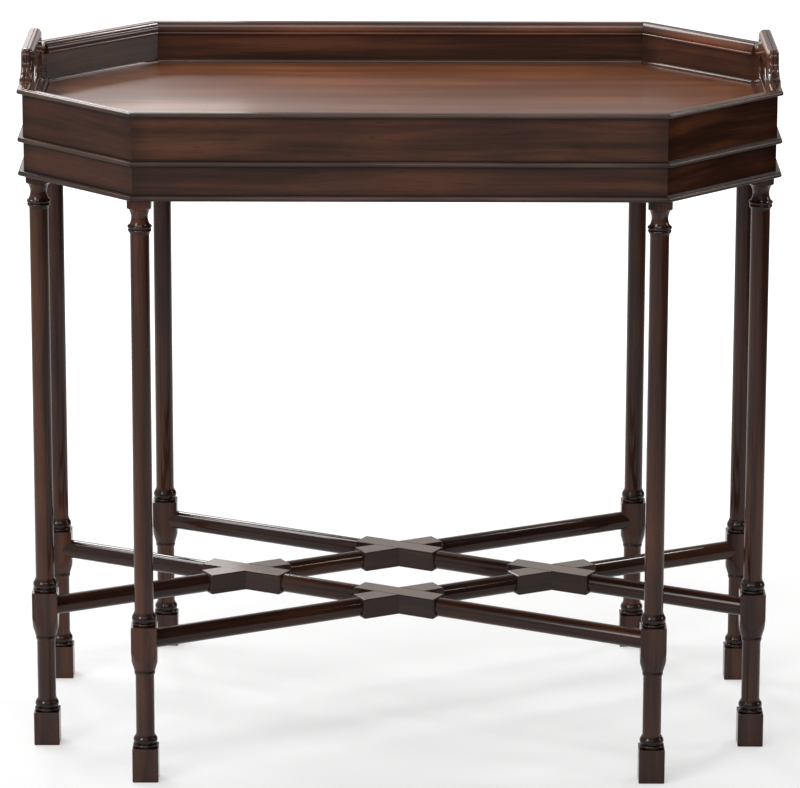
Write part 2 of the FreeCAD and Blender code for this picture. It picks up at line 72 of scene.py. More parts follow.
SIDES = ("front", "front_right", "right", "back_right", "back", "back_left", "left", "front_left")
END_SIDES = ("right", "left")
SHARP_ANGLE = math.radians(38)
JOINT_GAP = 0.03 * MM
WELD = 0.002 * MM

# Painted shade towards the mitres and along the edges under the beads, and the share of a strip that is
# drawn as its end
END_FADE = 22 * MM
END_SHADE = 0.4
END_SPAN = 0.1
EDGE_REACH = 2.6 * MM
EDGE_DEPTH = 0.75

# How many steps each kind of curve has, and the middle step of a collar's eased top as shares of its easing
ARC_STEPS = 6
RING_STEPS = 8
BULB_STEPS = 12
NECK_STEPS = 14
TONGUE_STEPS = 18
EASE_STEPS = 4
SHOULDER_STEPS = 5
EASE_SHARES = (0.3, 0.5)

# Where each kind of board starts in the grain pattern, and how far apart boards lie there
WALL_BOARDS = 0
RIM_BEAD_BOARDS = 10
APRON_BOARDS = 25
APRON_BOARD_STEP = 10
MOULDING_BOARDS = 40
FLOOR_BEAD_BOARDS = 50
LEG_BOARDS = 60
ROD_BOARDS = 416
ROD_BOARD_STEP = 3
BOARD_STEPS = (1.37, 0.61, 0.43)
BOARD_CYCLES = (7, 5)

Point2 = tuple[float, float]
Point3 = tuple[float, float, float]
Corner = tuple[float, float, float]
Colour = tuple[float, float, float]


class Body(Enum):
    """The moving bodies of the part."""

    STAND = "stand"
    TRAY = "tray"


class PatternSpace(Enum):
    """Where a finish reads its pattern from."""

    GRAIN_ATTRIBUTE = "attribute"
    OBJECT = "object"


# Node trees


class TreeWriter:
    """Adds nodes to a tree and links them in few words."""

    def __init__(self, tree: bpy.types.NodeTree) -> None:
        """Keep the tree to write in."""
        self.tree = tree

    def add(self, kind: str, inputs: Optional[dict] = None, **settings: object) -> bpy.types.Node:
        """Add a node.

        Args:
            kind: Blender's name for the node type.
            inputs: Values or sockets for its inputs, by name or number.
            settings: Properties of the node.

        Returns:
            The new node.
        """
        node = self.tree.nodes.new(kind)
        for name, value in settings.items():
            setattr(node, name, value)
        for key, value in (inputs or {}).items():
            self.feed(node.inputs[key], value)
        return node

    def feed(self, socket: bpy.types.NodeSocket, value: object) -> None:
        """Link a socket, or set its value.

        Args:
            socket: The input to feed.
            value: An output socket, or a plain value.
        """
        if isinstance(value, bpy.types.NodeSocket):
            self.tree.links.new(value, socket)
        else:
            socket.default_value = value

    def math(self, operation: str, *values: object, clamp: bool = False) -> bpy.types.NodeSocket:
        """Add a Math node and return its output.

        Args:
            operation: The operation's name.
            values: Numbers or sockets.
            clamp: Whether the result stays between 0 and 1.

        Returns:
            The result's socket.
        """
        node = self.add("ShaderNodeMath", dict(enumerate(values)), operation=operation, use_clamp=clamp)
        return node.outputs[0]

    def vector(self, operation: str, *values: object) -> bpy.types.NodeSocket:
        """Add a Vector Math node and return its vector output."""
        return self.add("ShaderNodeVectorMath", dict(enumerate(values)), operation=operation).outputs[0]

    def combine(self, x: object, y: object, z: object) -> bpy.types.NodeSocket:
        """Make a vector of three values."""
        return self.add("ShaderNodeCombineXYZ", {"X": x, "Y": y, "Z": z}).outputs[0]

    def noise(self, place: object, scale: object, detail: float,
              roughness: float = 0.5) -> bpy.types.NodeSocket:
        """Add a noise pattern and return its value.

        Args:
            place: The coordinates.
            scale: Waves to a unit.
            detail: Octaves.
            roughness: Weight of each further octave.

        Returns:
            A value about one half.
        """
        node = self.add("ShaderNodeTexNoise",
                        {"Vector": place, "Scale": scale, "Detail": detail, "Roughness": roughness})
        return node.outputs["Fac"]

    def span(self, value: object, low: float, high: float, to_low: float = 0.0,
             to_high: float = 1.0) -> bpy.types.NodeSocket:
        """Map a range of a value onto another, eased and clamped at both ends.

        Args:
            value: The socket to map.
            low: Start of its range.
            high: End of its range.
            to_low: Result at the start.
            to_high: Result at the end.

        Returns:
            The mapped value.
        """
        values = {"Value": value, "From Min": low, "From Max": high, "To Min": to_low, "To Max": to_high}
        return self.add("ShaderNodeMapRange", values, interpolation_type="SMOOTHSTEP").outputs["Result"]

    def blend(self, share: object, first: object, second: object) -> bpy.types.NodeSocket:
        """Mix two colours.

        Args:
            share: How much of the second.
            first: A colour or socket.
            second: A colour or socket.

        Returns:
            The mixed colour.
        """
        node = self.add("ShaderNodeMix", data_type="RGBA")
        for name, value in (("Factor_Float", share), ("A_Color", first), ("B_Color", second)):
            socket = next(s for s in node.inputs if s.identifier == name)
            self.feed(socket, value if not isinstance(value, tuple) else (*value, 1.0))
        return next(s for s in node.outputs if s.identifier == "Result_Color")

    def store(self, geometry: object, name: str, kind: str, value: object) -> bpy.types.NodeSocket:
        """Keep a value on the points of a geometry.

        Args:
            geometry: The geometry's socket.
            name: The attribute's name.
            kind: Its data type.
            value: The socket to keep.

        Returns:
            The geometry with the attribute.
        """
        node = self.add("GeometryNodeStoreNamedAttribute", {"Geometry": geometry, "Name": name},
                        data_type=kind, domain="POINT")
        self.feed(next(s for s in node.inputs if s.name == "Value" and s.enabled), value)
        return node.outputs["Geometry"]


def new_group(name: str, kind: str, inputs: dict[str, str],
              outputs: dict[str, str]) -> tuple[TreeWriter, bpy.types.Node, bpy.types.Node]:
    """Start a node group with named sockets.

    Args:
        name: The group's name.
        kind: The tree's type.
        inputs: The sort of value that each named input takes.
        outputs: The sort of value that each named output gives.

    Returns:
        A writer for the tree, its input node and its output node.
    """
    tree = bpy.data.node_groups.new(name, kind)
    for way, sockets in (("INPUT", inputs), ("OUTPUT", outputs)):
        for label, sort in sockets.items():
            tree.interface.new_socket(name=label, in_out=way, socket_type="NodeSocket" + sort)
    writer = TreeWriter(tree)
    return writer, writer.add("NodeGroupInput"), writer.add("NodeGroupOutput")


# Finishes


@dataclass(frozen=True)
class GrainGroup:
    """Shader group with the streaks, fibres and pores of a board, stretched along its length."""

    wander_scale: float = 5.0
    cloud_scale: float = 6.0
    fibre_stretch: Point3 = (2.0, 7.0, 7.0)
    pore_stretch: Point3 = (9.0, 26.0, 26.0)
    streak_roughness: float = 0.55
    fibre_roughness: float = 0.6
    pore_range: Point2 = (0.63, 0.72)

    def build(self) -> bpy.types.NodeTree:
        """Build the group.

        Returns:
            Its tree.
        """
        writer, source, result = new_group(
            "figured_grain", "ShaderNodeTree",
            {"Place": "Vector", "Streak Width": "Float", "Streak Length": "Float", "Waviness": "Float"},
            {"Streak": "Float", "Fibre": "Float", "Pore": "Float", "Cloud": "Float"})
        place = source.outputs["Place"]
        wander = writer.math("SUBTRACT", writer.noise(place, self.wander_scale, 1.0), 0.5)
        sway = writer.math("MULTIPLY", wander, source.outputs["Waviness"])
        bent = writer.vector("ADD", place, writer.combine(0.0, sway, sway))
        along = writer.math("DIVIDE", 1.0, source.outputs["Streak Length"])
        across = writer.math("DIVIDE", 1.0, source.outputs["Streak Width"])
        drawn = writer.vector("MULTIPLY", bent, writer.combine(along, across, across))
        fine = writer.vector("MULTIPLY", drawn, self.fibre_stretch)
        tiny = writer.vector("MULTIPLY", drawn, self.pore_stretch)
        for name, value in (("Streak", writer.noise(drawn, 1.0, 3.0, self.streak_roughness)),
                            ("Fibre", writer.noise(fine, 1.0, 2.0, self.fibre_roughness)),
                            ("Pore", writer.span(writer.noise(tiny, 1.0, 0.0), *self.pore_range)),
                            ("Cloud", writer.noise(place, self.cloud_scale, 2.0))):
            writer.feed(result.inputs[name], value)
        return writer.tree


@dataclass(frozen=True)
class PolishGroup:
    """Shader group with the small unevenness of a hand-rubbed lacquer."""

    patch_scale: float = 22.0
    ripple_scale: float = 160.0

    def build(self) -> bpy.types.NodeTree:
        """Build the group.

        Returns:
            Its tree.
        """
        writer, source, result = new_group("rubbed_polish", "ShaderNodeTree",
                                           {"Place": "Vector", "Gloss": "Float", "Spread": "Float"},
                                           {"Roughness": "Float", "Ripple": "Float"})
        place = source.outputs["Place"]
        patch = writer.math("SUBTRACT", writer.noise(place, self.patch_scale, 3.0), 0.5)
        lift = writer.math("MULTIPLY", patch, source.outputs["Spread"])
        rough = writer.math("ADD", source.outputs["Gloss"], lift, clamp=True)
        writer.feed(result.inputs["Roughness"], rough)
        writer.feed(result.inputs["Ripple"], writer.noise(place, self.ripple_scale, 1.0))
        return writer.tree


class FinishKit:
    """The groups that every finish shares."""

    def __init__(self) -> None:
        """Build the shared groups."""
        self.grain = GrainGroup().build()
        self.polish = PolishGroup().build()


def new_material(name: str) -> tuple[bpy.types.Material, TreeWriter, bpy.types.Node]:
    """Start a material with one shader.

    Args:
        name: The material's name.

    Returns:
        The material, a writer for its tree and its shader.
    """
    material = bpy.data.materials.new(name)
    material.use_nodes = True
    return material, TreeWriter(material.node_tree), material.node_tree.nodes["Principled BSDF"]


@dataclass(frozen=True)
class WoodFinish:
    """A stained and lacquered wood."""

    name: str
    dark: Colour
    middle: Colour
    warm: Colour
    space: PatternSpace = PatternSpace.GRAIN_ATTRIBUTE
    turn: float = 0.0
    streak_width: float = 14 * MM
    streak_length: float = 260 * MM
    waviness: float = 16 * MM
    streak_range: Point2 = (0.34, 0.68)
    soft_range: Point2 = (0.35, 0.65)
    fibre_share: float = 0.22
    pore_depth: float = 0.45
    gloss: float = 0.38
    gloss_spread: float = 0.12
    under_shine: float = 0.25
    coat: float = 1.0
    coat_roughness: float = 0.12
    coat_ior: float = 1.36
    relief: float = 0.05 * MM
    relief_strength: float = 0.25
    # Colour of the painted shade in recesses, under beads, at wall feet and towards the mitres
    painted_shade: Colour = (0.006, 0.003, 0.002)

    def build(self, kit: FinishKit) -> bpy.types.Material:
        """Make the material.

        Args:
            kit: The shared groups.

        Returns:
            The material.
        """
        material, writer, shader = new_material(self.name)
        place = self._place(writer)
        grain = writer.add("ShaderNodeGroup", node_tree=kit.grain)
        polish = writer.add("ShaderNodeGroup", node_tree=kit.polish)
        for node, values in ((grain, {"Place": place, "Streak Width": self.streak_width,
                                      "Streak Length": self.streak_length, "Waviness": self.waviness}),
                             (polish, {"Place": place, "Gloss": self.gloss, "Spread": self.gloss_spread})):
            for key, value in values.items():
                writer.feed(node.inputs[key], value)
        streak = writer.span(grain.outputs["Streak"], *self.streak_range)
        fibre, cloud = (writer.span(grain.outputs[name], *self.soft_range) for name in ("Fibre", "Cloud"))
        figure = writer.math("MULTIPLY_ADD", fibre, self.fibre_share,
                             writer.math("MULTIPLY", streak, 1 - self.fibre_share))
        body = writer.blend(figure, self.dark, self.middle)
        tinted = writer.blend(writer.math("MULTIPLY", streak, cloud), body, self.warm)
        depth = writer.math("MULTIPLY", grain.outputs["Pore"], self.pore_depth)
        # Painted shade: the vertex attribute darkens the base colour towards the shade colour
        painted_shade = writer.add("ShaderNodeAttribute", attribute_name=PAINTED_SHADE).outputs["Fac"]
        grained = writer.blend(depth, tinted, self.dark)
        writer.feed(shader.inputs["Base Color"], writer.blend(painted_shade, grained, self.painted_shade))
        writer.feed(shader.inputs["Roughness"], polish.outputs["Roughness"])
        height = writer.math("MULTIPLY", 0.5, writer.math("SUBTRACT", polish.outputs["Ripple"],
                                                          grain.outputs["Pore"]))
        bump = writer.add("ShaderNodeBump", {"Height": height, "Strength": self.relief_strength,
                                             "Distance": self.relief})
        writer.feed(shader.inputs["Normal"], bump.outputs["Normal"])
        for key, value in (("Specular IOR Level", self.under_shine), ("Coat Weight", self.coat),
                           ("Coat Roughness", self.coat_roughness), ("Coat IOR", self.coat_ior)):
            shader.inputs[key].default_value = value
        return material

    def _place(self, writer: TreeWriter) -> bpy.types.NodeSocket:
        """The coordinates that the pattern follows, with X along the grain.

        Args:
            writer: The writer of the material's tree.

        Returns:
            The coordinates' socket.
        """
        if self.space is PatternSpace.GRAIN_ATTRIBUTE:
            return writer.add("ShaderNodeAttribute", attribute_name=GRAIN).outputs["Vector"]
        texture = writer.add("ShaderNodeTexCoord")
        mapping = writer.add("ShaderNodeMapping", {"Vector": texture.outputs["Object"],
                                                   "Rotation": (0.0, 0.0, self.turn)})
        return mapping.outputs["Vector"]


@dataclass(frozen=True)
class SteelFinish:
    """Dull, slightly stained screw steel."""

    name: str = "dull_steel"
    clean: Colour = (0.30, 0.28, 0.26)
    stained: Colour = (0.12, 0.085, 0.06)
    stain_scale: float = 420.0
    stain_range: Point2 = (0.42, 0.62)
    roughness: float = 0.32
    stain_roughness: float = 0.3

    def build(self) -> bpy.types.Material:
        """Make the material.

        Returns:
            The material.
        """
        material, writer, shader = new_material(self.name)
        place = writer.add("ShaderNodeTexCoord").outputs["Object"]
        stain = writer.span(writer.noise(place, self.stain_scale, 3.0), *self.stain_range)
        rough = writer.math("MULTIPLY_ADD", stain, self.stain_roughness, self.roughness)
        writer.feed(shader.inputs["Base Color"], writer.blend(stain, self.clean, self.stained))
        writer.feed(shader.inputs["Roughness"], rough)
        shader.inputs["Metallic"].default_value = 1.0
        return material


# The polish of the frame, its stain, the beads' colours with a painted sheen, and the plain stain of the
# hidden wood
POLISH = dict(coat_roughness=0.1, coat_ior=1.45, gloss=0.5, under_shine=0.0)
FRAME_STAIN = dict(dark=(0.034, 0.0125, 0.0075), middle=(0.086, 0.032, 0.0175), warm=(0.135, 0.047, 0.023))
# Painted sheen: lighter and greyer than the frame's stain, standing in for the pale reflection along the
# beads
BEAD_PAINTED_SHEEN = dict(dark=(0.05, 0.03, 0.024), middle=(0.105, 0.064, 0.051), warm=(0.14, 0.08, 0.06))
FLOOR_STAIN = dict(dark=(0.128, 0.042, 0.0165), middle=(0.184, 0.063, 0.025), warm=(0.25, 0.09, 0.036))
INNER_STAIN = dict(dark=(0.075, 0.036, 0.020), middle=(0.15, 0.075, 0.040), warm=(0.20, 0.10, 0.055))


@dataclass
class Finishes:
    """Every material of the table."""

    kit: FinishKit = field(default_factory=FinishKit)

    def __post_init__(self) -> None:
        """Make the materials."""
        self.frame_wood = self._polished("polished_mahogany", level=1.0)
        # Rim mouldings: partly a lighter strip of wood, partly painted light that their upturned face
        # catches
        self.strip_wood_and_painted_light = self._polished("polished_strip_and_painted_light", level=1.5)
        # Beads: painted sheen, in their lighter and greyer colours
        self.bead_wood_painted_sheen = WoodFinish("polished_bead_painted_sheen", coat=0.6, **BEAD_PAINTED_SHEEN, **POLISH).build(self.kit)
        self.leg_wood = self._polished("polished_leg", level=0.82)
        # Stretchers: painted shade, their wood made darker for the little light that reaches them under the
        # tray
        self.rod_wood_painted_shade = self._polished("polished_rod_painted_shade", level=0.45)
        self.floor_wood = WoodFinish("polished_tray_floor", space=PatternSpace.OBJECT, streak_width=24 * MM,
                                     streak_length=520 * MM, waviness=22 * MM, under_shine=0.35, gloss=0.35,
                                     gloss_spread=0.04, pore_depth=0.2, coat=0.4, coat_ior=1.25,
                                     coat_roughness=0.1, relief=0.02 * MM, **FLOOR_STAIN).build(self.kit)
        plain = dict(space=PatternSpace.OBJECT, gloss=0.62, coat=0.0, **INNER_STAIN)
        self.batten_wood = WoodFinish("stained_batten", turn=math.pi / 2, **plain).build(self.kit)
        self.block_wood = WoodFinish("stained_block", **plain).build(self.kit)
        self.steel = SteelFinish().build()

    def _polished(self, name: str, level: float) -> bpy.types.Material:
        """The frame's polished wood with its colours made lighter or darker; on the rim mouldings and the
        stretchers this paints in light and shade.

        Args:
            name: The material's name.
            level: How light, where the walls and the apron have 1.

        Returns:
            The material.
        """
        stain = {key: tuple(level * value for value in colour) for key, colour in FRAME_STAIN.items()}
        return WoodFinish(name, **stain, **POLISH).build(self.kit)


# Drawing


def arc_points(centre: Point2, radius: float, start: float, end: float, steps: int) -> list[Point2]:
    """Points of an arc after its start.

    Args:
        centre: The arc's centre.
        radius: Its radius.
        start: Angle of its start, in radians.
        end: Angle of its end.
        steps: How many points.

    Returns:
        The points, the end among them and the start not.
    """
    turns = [start + (end - start) * step / steps for step in range(1, steps + 1)]
    return [(centre[0] + radius * math.cos(turn), centre[1] + radius * math.sin(turn)) for turn in turns]


def quarter_round(steps: int) -> list[Point2]:
    """Points of a quarter round of radius 1, measured from the corner that it takes off.

    Args:
        steps: How many steps.

    Returns:
        How far below the top and how far in from the face each lies, from the face to the top.
    """
    turns = [math.pi / 2 * step / steps for step in range(steps + 1)]
    return [(1 - math.sin(turn), 1 - math.cos(turn)) for turn in turns]


def arc_through(start: Point2, middle: Point2, end: Point2, steps: int = ARC_STEPS) -> list[Point2]:
    """Points of the arc through three points, after its start.

    Args:
        start: First point.
        middle: A point on the way.
        end: Last point.
        steps: How many points.

    Returns:
        The points, the end among them and the start not.
    """
    (ax, ay), (bx, by), (cx, cy) = start, middle, end
    twist = 2 * (ax * (by - cy) + bx * (cy - ay) + cx * (ay - by))
    squares = (ax * ax + ay * ay, bx * bx + by * by, cx * cx + cy * cy)
    centre = ((squares[0] * (by - cy) + squares[1] * (cy - ay) + squares[2] * (ay - by)) / twist,
              (squares[0] * (cx - bx) + squares[1] * (ax - cx) + squares[2] * (bx - ax)) / twist)
    angles = [math.atan2(y - centre[1], x - centre[0]) for x, y in (start, middle, end)]
    way = 1 if twist > 0 else -1
    sweep = ((angles[2] - angles[0]) * way) % (2 * math.pi) * way
    return arc_points(centre, math.dist(centre, start), angles[0], angles[0] + sweep, steps)


def rounded_outline(corners: Sequence[Corner]) -> list[Point2]:
    """A closed outline with each corner rounded.

    Args:
        corners: Corners in order, each with the radius of its round.

    Returns:
        The outline's points.
    """
    points: list[Point2] = []
    for index, (x, y, radius) in enumerate(corners):
        here = Vector((x, y))
        back = (Vector(corners[index - 1][:2]) - here).normalized()
        ahead = (Vector(corners[(index + 1) % len(corners)][:2]) - here).normalized()
        if radius <= 0:
            points.append((x, y))
            continue
        half = back.angle(ahead) / 2
        centre = here + (back + ahead).normalized() * (radius / math.sin(half))
        first = here + back * (radius / math.tan(half)) - centre
        last = here + ahead * (radius / math.tan(half)) - centre
        start = math.atan2(first.y, first.x)
        sweep = (math.atan2(last.y, last.x) - start + math.pi) % (2 * math.pi) - math.pi
        points.append(tuple(centre + first))
        points.extend(arc_points(tuple(centre), radius, start, start + sweep, ARC_STEPS))
    return [point for index, point in enumerate(points) if math.dist(point, points[index - 1]) > WELD]


def bead_outline(face: float, low: float, height: float, projection: float,
                 crown: float = 0.5) -> list[Point2]:
    """The outline of a rounded bead that stands out from a face.

    Args:
        face: Where the face lies, outwards.
        low: Height of the bead's lower edge.
        height: The bead's height.
        projection: How far it stands out.
        crown: The share of the height that the upper round takes.

    Returns:
        The outline's points.
    """
    upper = height * crown - WELD
    return rounded_outline([(face, low, 0), (face + projection, low, height - upper - 2 * WELD),
                            (face + projection, low + height, upper), (face, low + height, 0)])


# Pieces


def baked(obj: bpy.types.Object) -> bpy.types.Object:
    """Turn an object's modifiers into plain mesh.

    Args:
        obj: The object with live modifiers.

    Returns:
        The same object without them.
    """
    depsgraph = bpy.context.evaluated_depsgraph_get()
    mesh = bpy.data.meshes.new_from_object(obj.evaluated_get(depsgraph), preserve_all_data_layers=True,
                                           depsgraph=depsgraph)
    mesh.name = obj.name
    obj.modifiers.clear()
    obj.data = mesh
    return obj


def new_object(name: str, mesh: bpy.types.Mesh) -> bpy.types.Object:
    """Link a new object to the scene.

    Args:
        name: Its name.
        mesh: Its mesh.

    Returns:
        The object.
    """
    obj = bpy.data.objects.new(name, mesh)
    bpy.context.scene.collection.objects.link(obj)
    return obj


def mesh_from(build: bmesh.types.BMesh, name: str) -> bpy.types.Mesh:
    """Turn what was drawn into a mesh.

    Args:
        build: The drawing, which is freed.
        name: The mesh's name.

    Returns:
        The mesh.
    """
    mesh = bpy.data.meshes.new(name)
    build.to_mesh(mesh)
    build.free()
    return mesh


def mesh_of(name: str, points: Sequence[Vector], faces: Sequence[Sequence[int]],
            places: Sequence[Vector], shade_amounts: Sequence[float] = ()) -> bpy.types.Mesh:
    """Make a mesh that is welded, faces outwards and carries its grain.

    Args:
        name: The mesh's name.
        points: Its vertices.
        faces: Its faces, as vertex numbers.
        places: The grain coordinates of the vertices.
        shade_amounts: How much painted shade each vertex carries, where there is any.

    Returns:
        The mesh.
    """
    mesh = bpy.data.meshes.new(name)
    mesh.from_pydata([tuple(p) for p in points], [], [tuple(f) for f in faces])
    grain = mesh.attributes.new(GRAIN, "FLOAT_VECTOR", "POINT")
    grain.data.foreach_set("vector", [value for place in places for value in place])
    if shade_amounts:
        mesh.attributes.new(PAINTED_SHADE, "FLOAT", "POINT").data.foreach_set("value", shade_amounts)
    build = bmesh.new()
    build.from_mesh(mesh)
    bmesh.ops.remove_doubles(build, verts=build.verts, dist=WELD)
    bmesh.ops.dissolve_degenerate(build, edges=build.edges, dist=WELD / 2)
    bmesh.ops.recalc_face_normals(build, faces=build.faces)
    build.to_mesh(mesh)
    build.free()
    return mesh


def finish_piece(obj: bpy.types.Object, material: bpy.types.Material, body: Body, node: str) -> None:
    """Even out a piece's shading, give it its finish, and set it on its body in place of its solid.

    Args:
        obj: The piece.
        material: Its finish.
        body: The body that it rides on.
        node: The solid that it stands for.
    """
    obj.data.shade_smooth()
    obj.data.set_sharp_from_angle(angle=SHARP_ANGLE)
    obj.modifiers.new("even_shading", "WEIGHTED_NORMAL").keep_sharp = True
    baked(obj)
    obj.data.materials.clear()
    obj.data.materials.append(material)
    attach(obj, body.value)
    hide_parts(node)
    LOG.info("%s: %d faces on %s", obj.name, len(obj.data.polygons), body.value)


def dress_node(node: bpy.types.Object, material: bpy.types.Material) -> None:
    """Give a solid that stays its finish.

    Args:
        node: The solid.
        material: Its finish.
    """
    node.data.materials.clear()
    node.data.materials.append(material)
    LOG.info("%s: solid kept, finish %s", node.name, material.name)


def joined(name: str, parts: Sequence[bpy.types.Object]) -> bpy.types.Object:
    """Join several plain pieces into one object.

    Args:
        name: The new object's name.
        parts: The pieces, which are removed.

    Returns:
        The new object.
    """
    build = bmesh.new()
    for part in parts:
        build.from_mesh(part.data)
    for part in parts:
        bpy.data.objects.remove(part)
    return new_object(name, mesh_from(build, name))


@dataclass(frozen=True)
class Octagon:
    """Plan of the apron faces: an oblong with its corners cut off at 45 degrees."""

    half_x: float
    half_y: float
    corner_cut: float

    @classmethod
    def from_frame(cls) -> "Octagon":
        """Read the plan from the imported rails.

        Returns:
            The plan.
        """
        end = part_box("apron_rail_right")[1].x
        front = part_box("apron_rail_front")
        return cls(end, -front[0].y, end - front[1].x)

    def half_length(self, side: int) -> float:
        """Half the length of an apron face."""
        corner = self.corner_cut / math.sqrt(2)
        return (self.half_x - self.corner_cut, corner, self.half_y - self.corner_cut, corner)[side % 4]

    def middle(self, side: int) -> Point2:
        """Where the middle of an apron face lies.

        Args:
            side: The face's side.

        Returns:
            Its place along the side and outwards.
        """
        slide = (self.half_x - self.half_y) / math.sqrt(2)
        corner = (self.half_x + self.half_y - self.corner_cut) / math.sqrt(2)
        return ((0.0, self.half_y), (slide, corner), (0.0, self.half_x), (-slide, corner))[side % 4]

    def turn(self, side: int) -> float:
        """How far a side is turned from the front one."""
        return math.tau / len(SIDES) * side

    def place(self, side: int) -> Matrix:
        """The move from a side's own coordinates to the table's."""
        along, outwards = self.middle(side)
        return Matrix.Rotation(self.turn(side), 4, "Z") @ Matrix.Translation((along, -outwards, 0.0))


def board_shift(number: int) -> Vector:
    """A place in the grain pattern for each board, so that no two look alike."""
    turns = (number, number % BOARD_CYCLES[0], number % BOARD_CYCLES[1])
    return Vector([step * turn for step, turn in zip(BOARD_STEPS, turns)])


@dataclass(frozen=True)
class EdgeShade:
    """Painted shade that gathers along lines at given heights: a moulding's inner edges, a bead's lower
    edge, a turned quirk.
    """

    heights: tuple[float, ...]
    reach: float
    depth: float

    def at(self, height: float) -> float:
        """How much of it lies at one height."""
        near = min(abs(height - edge) for edge in self.heights) / self.reach
        return self.depth * max(0.0, 1 - near)


@dataclass(frozen=True)
class BandShade:
    """Painted shade over a band of heights, thinning out above it."""

    low: float
    high: float
    fade: float
    depth: float

    def at(self, height: float) -> float:
        """How much of it lies at one height."""
        past = max(0.0, height - self.high) / self.fade
        return self.depth * max(0.0, 1 - past) if height > self.low - WELD else 0.0


@dataclass(frozen=True)
class ShadeLayers:
    """Several lines and bands of painted shade on one piece."""

    layers: tuple[Union[EdgeShade, BandShade], ...]

    def at(self, height: float) -> float:
        """How much of them lies at one height."""
        return max(layer.at(height) for layer in self.layers)


PaintedShade = Union[EdgeShade, ShadeLayers]


class MitredStrip:
    """Geometry Nodes tree that runs a section along one side of the octagon and cuts both mitres."""

    def __init__(self) -> None:
        """Build the tree once."""
        sizes = ("Half Length", "Mitre Slope", "Joint Gap", "Slide", "Distance", "Turn", "Fade", "End Shade")
        solid = {"Geometry": "Geometry"}
        needs = {**solid, **dict.fromkeys(sizes, "Float"), "Board Shift": "Vector", "Finish": "Material"}
        writer, source, result = new_group("mitred_strip", "GeometryNodeTree", needs, solid)
        given = source.outputs
        drawn, top = given["Geometry"], True
        for length in (END_SPAN, 2 - 2 * END_SPAN, END_SPAN):
            node = writer.add("GeometryNodeExtrudeMesh",
                              {"Mesh": drawn, "Selection": top, "Offset": (1.0, 0.0, 0.0),
                               "Offset Scale": length, "Individual": False}, mode="FACES")
            drawn, top = node.outputs["Mesh"], node.outputs["Top"]
        cap = writer.add("GeometryNodeFlipFaces", {"Mesh": given["Geometry"]})
        both = writer.add("GeometryNodeJoinGeometry")
        for part in (cap.outputs["Mesh"], drawn):
            writer.feed(both.inputs["Geometry"], part)
        closed = writer.add("GeometryNodeMergeByDistance",
                            {"Geometry": both.outputs["Geometry"], "Distance": WELD})
        spot = writer.add("ShaderNodeSeparateXYZ", {0: writer.add("GeometryNodeInputPosition").outputs[0]})
        splay = writer.math("MULTIPLY", spot.outputs["Y"], given["Mitre Slope"])
        whole = writer.math("SUBTRACT", given["Half Length"], splay)
        reach = writer.math("SUBTRACT", whole, given["Joint Gap"])
        end = writer.math("GREATER_THAN", writer.math("ABSOLUTE", spot.outputs["X"]), 1 - END_SPAN / 2)
        inner = writer.math("MULTIPLY", given["Fade"], writer.math("SUBTRACT", 1.0, end))
        along = writer.math("MULTIPLY", writer.math("SIGN", spot.outputs["X"]),
                            writer.math("SUBTRACT", reach, inner))
        local = writer.combine(along, spot.outputs["Y"], spot.outputs["Z"])
        # Painted shade: the section's own along its edges, and more over the end spans at the mitres
        edges = writer.add("GeometryNodeInputNamedAttribute", {"Name": PAINTED_SHADE}, data_type="FLOAT")
        dark = writer.math("MAXIMUM", edges.outputs["Attribute"],
                           writer.math("MULTIPLY", end, given["End Shade"]))
        shaded = writer.store(closed.outputs["Geometry"], PAINTED_SHADE, "FLOAT", dark)
        mitred = writer.add("GeometryNodeSetPosition", {"Geometry": shaded, "Position": local})
        place = writer.vector("ADD", writer.add("GeometryNodeInputPosition").outputs[0],
                              given["Board Shift"])
        shape = writer.store(mitred.outputs["Geometry"], GRAIN, "FLOAT_VECTOR", place)
        outwards = writer.math("MULTIPLY", given["Distance"], -1.0)
        for kind, values in (
                ("Transform", {"Translation": writer.combine(given["Slide"], outwards, 0.0)}),
                ("Transform", {"Rotation": writer.combine(0.0, 0.0, given["Turn"])}),
                ("RealizeInstances", {}),
                ("SetMaterial", {"Material": given["Finish"]})):
            shape = writer.add("GeometryNode" + kind, {"Geometry": shape, **values}).outputs["Geometry"]
        writer.feed(result.inputs["Geometry"], shape)
        self.tree = writer.tree
        self.names = {item.name: item.identifier for item in self.tree.interface.items_tree
                      if item.in_out == "INPUT"}

    def run(self, name: str, outline: Sequence[Point2], plan: Octagon, side: int, number: int,
            material: bpy.types.Material, painted_shade: Optional[PaintedShade] = None) -> bpy.types.Object:
        """Make one strip.

        Args:
            name: The piece's name.
            outline: Its section, outwards and up.
            plan: The octagon.
            side: The side that it lies on.
            number: The board's number, for its grain.
            material: Its finish.
            painted_shade: Where its painted shade lies.

        Returns:
            The strip, as a plain mesh.
        """
        build = bmesh.new()
        face = build.faces.new([build.verts.new((-1.0, -x, z)) for x, z in outline])
        face.normal_update()
        if face.normal.x < 0:
            face.normal_flip()
        mesh = mesh_from(build, name)
        # Painted shade at each vertex of the section
        dark = [painted_shade.at(vertex.co.z) if painted_shade else 0.0 for vertex in mesh.vertices]
        mesh.attributes.new(PAINTED_SHADE, "FLOAT", "POINT").data.foreach_set("value", dark)
        obj = new_object(name, mesh)
        modifier = obj.modifiers.new("strip", "NODES")
        modifier.node_group = self.tree
        slide, distance = plan.middle(side)
        for label, value in (("Half Length", plan.half_length(side)), ("Mitre Slope", MITRE_SLOPE),
                             ("Joint Gap", JOINT_GAP), ("Slide", slide), ("Distance", distance),
                             ("Turn", plan.turn(side)), ("Fade", END_FADE), ("End Shade", END_SHADE),
                             ("Board Shift", board_shift(number)), ("Finish", material)):
            modifier[self.names[label]] = value
        return baked(obj)


# Tray


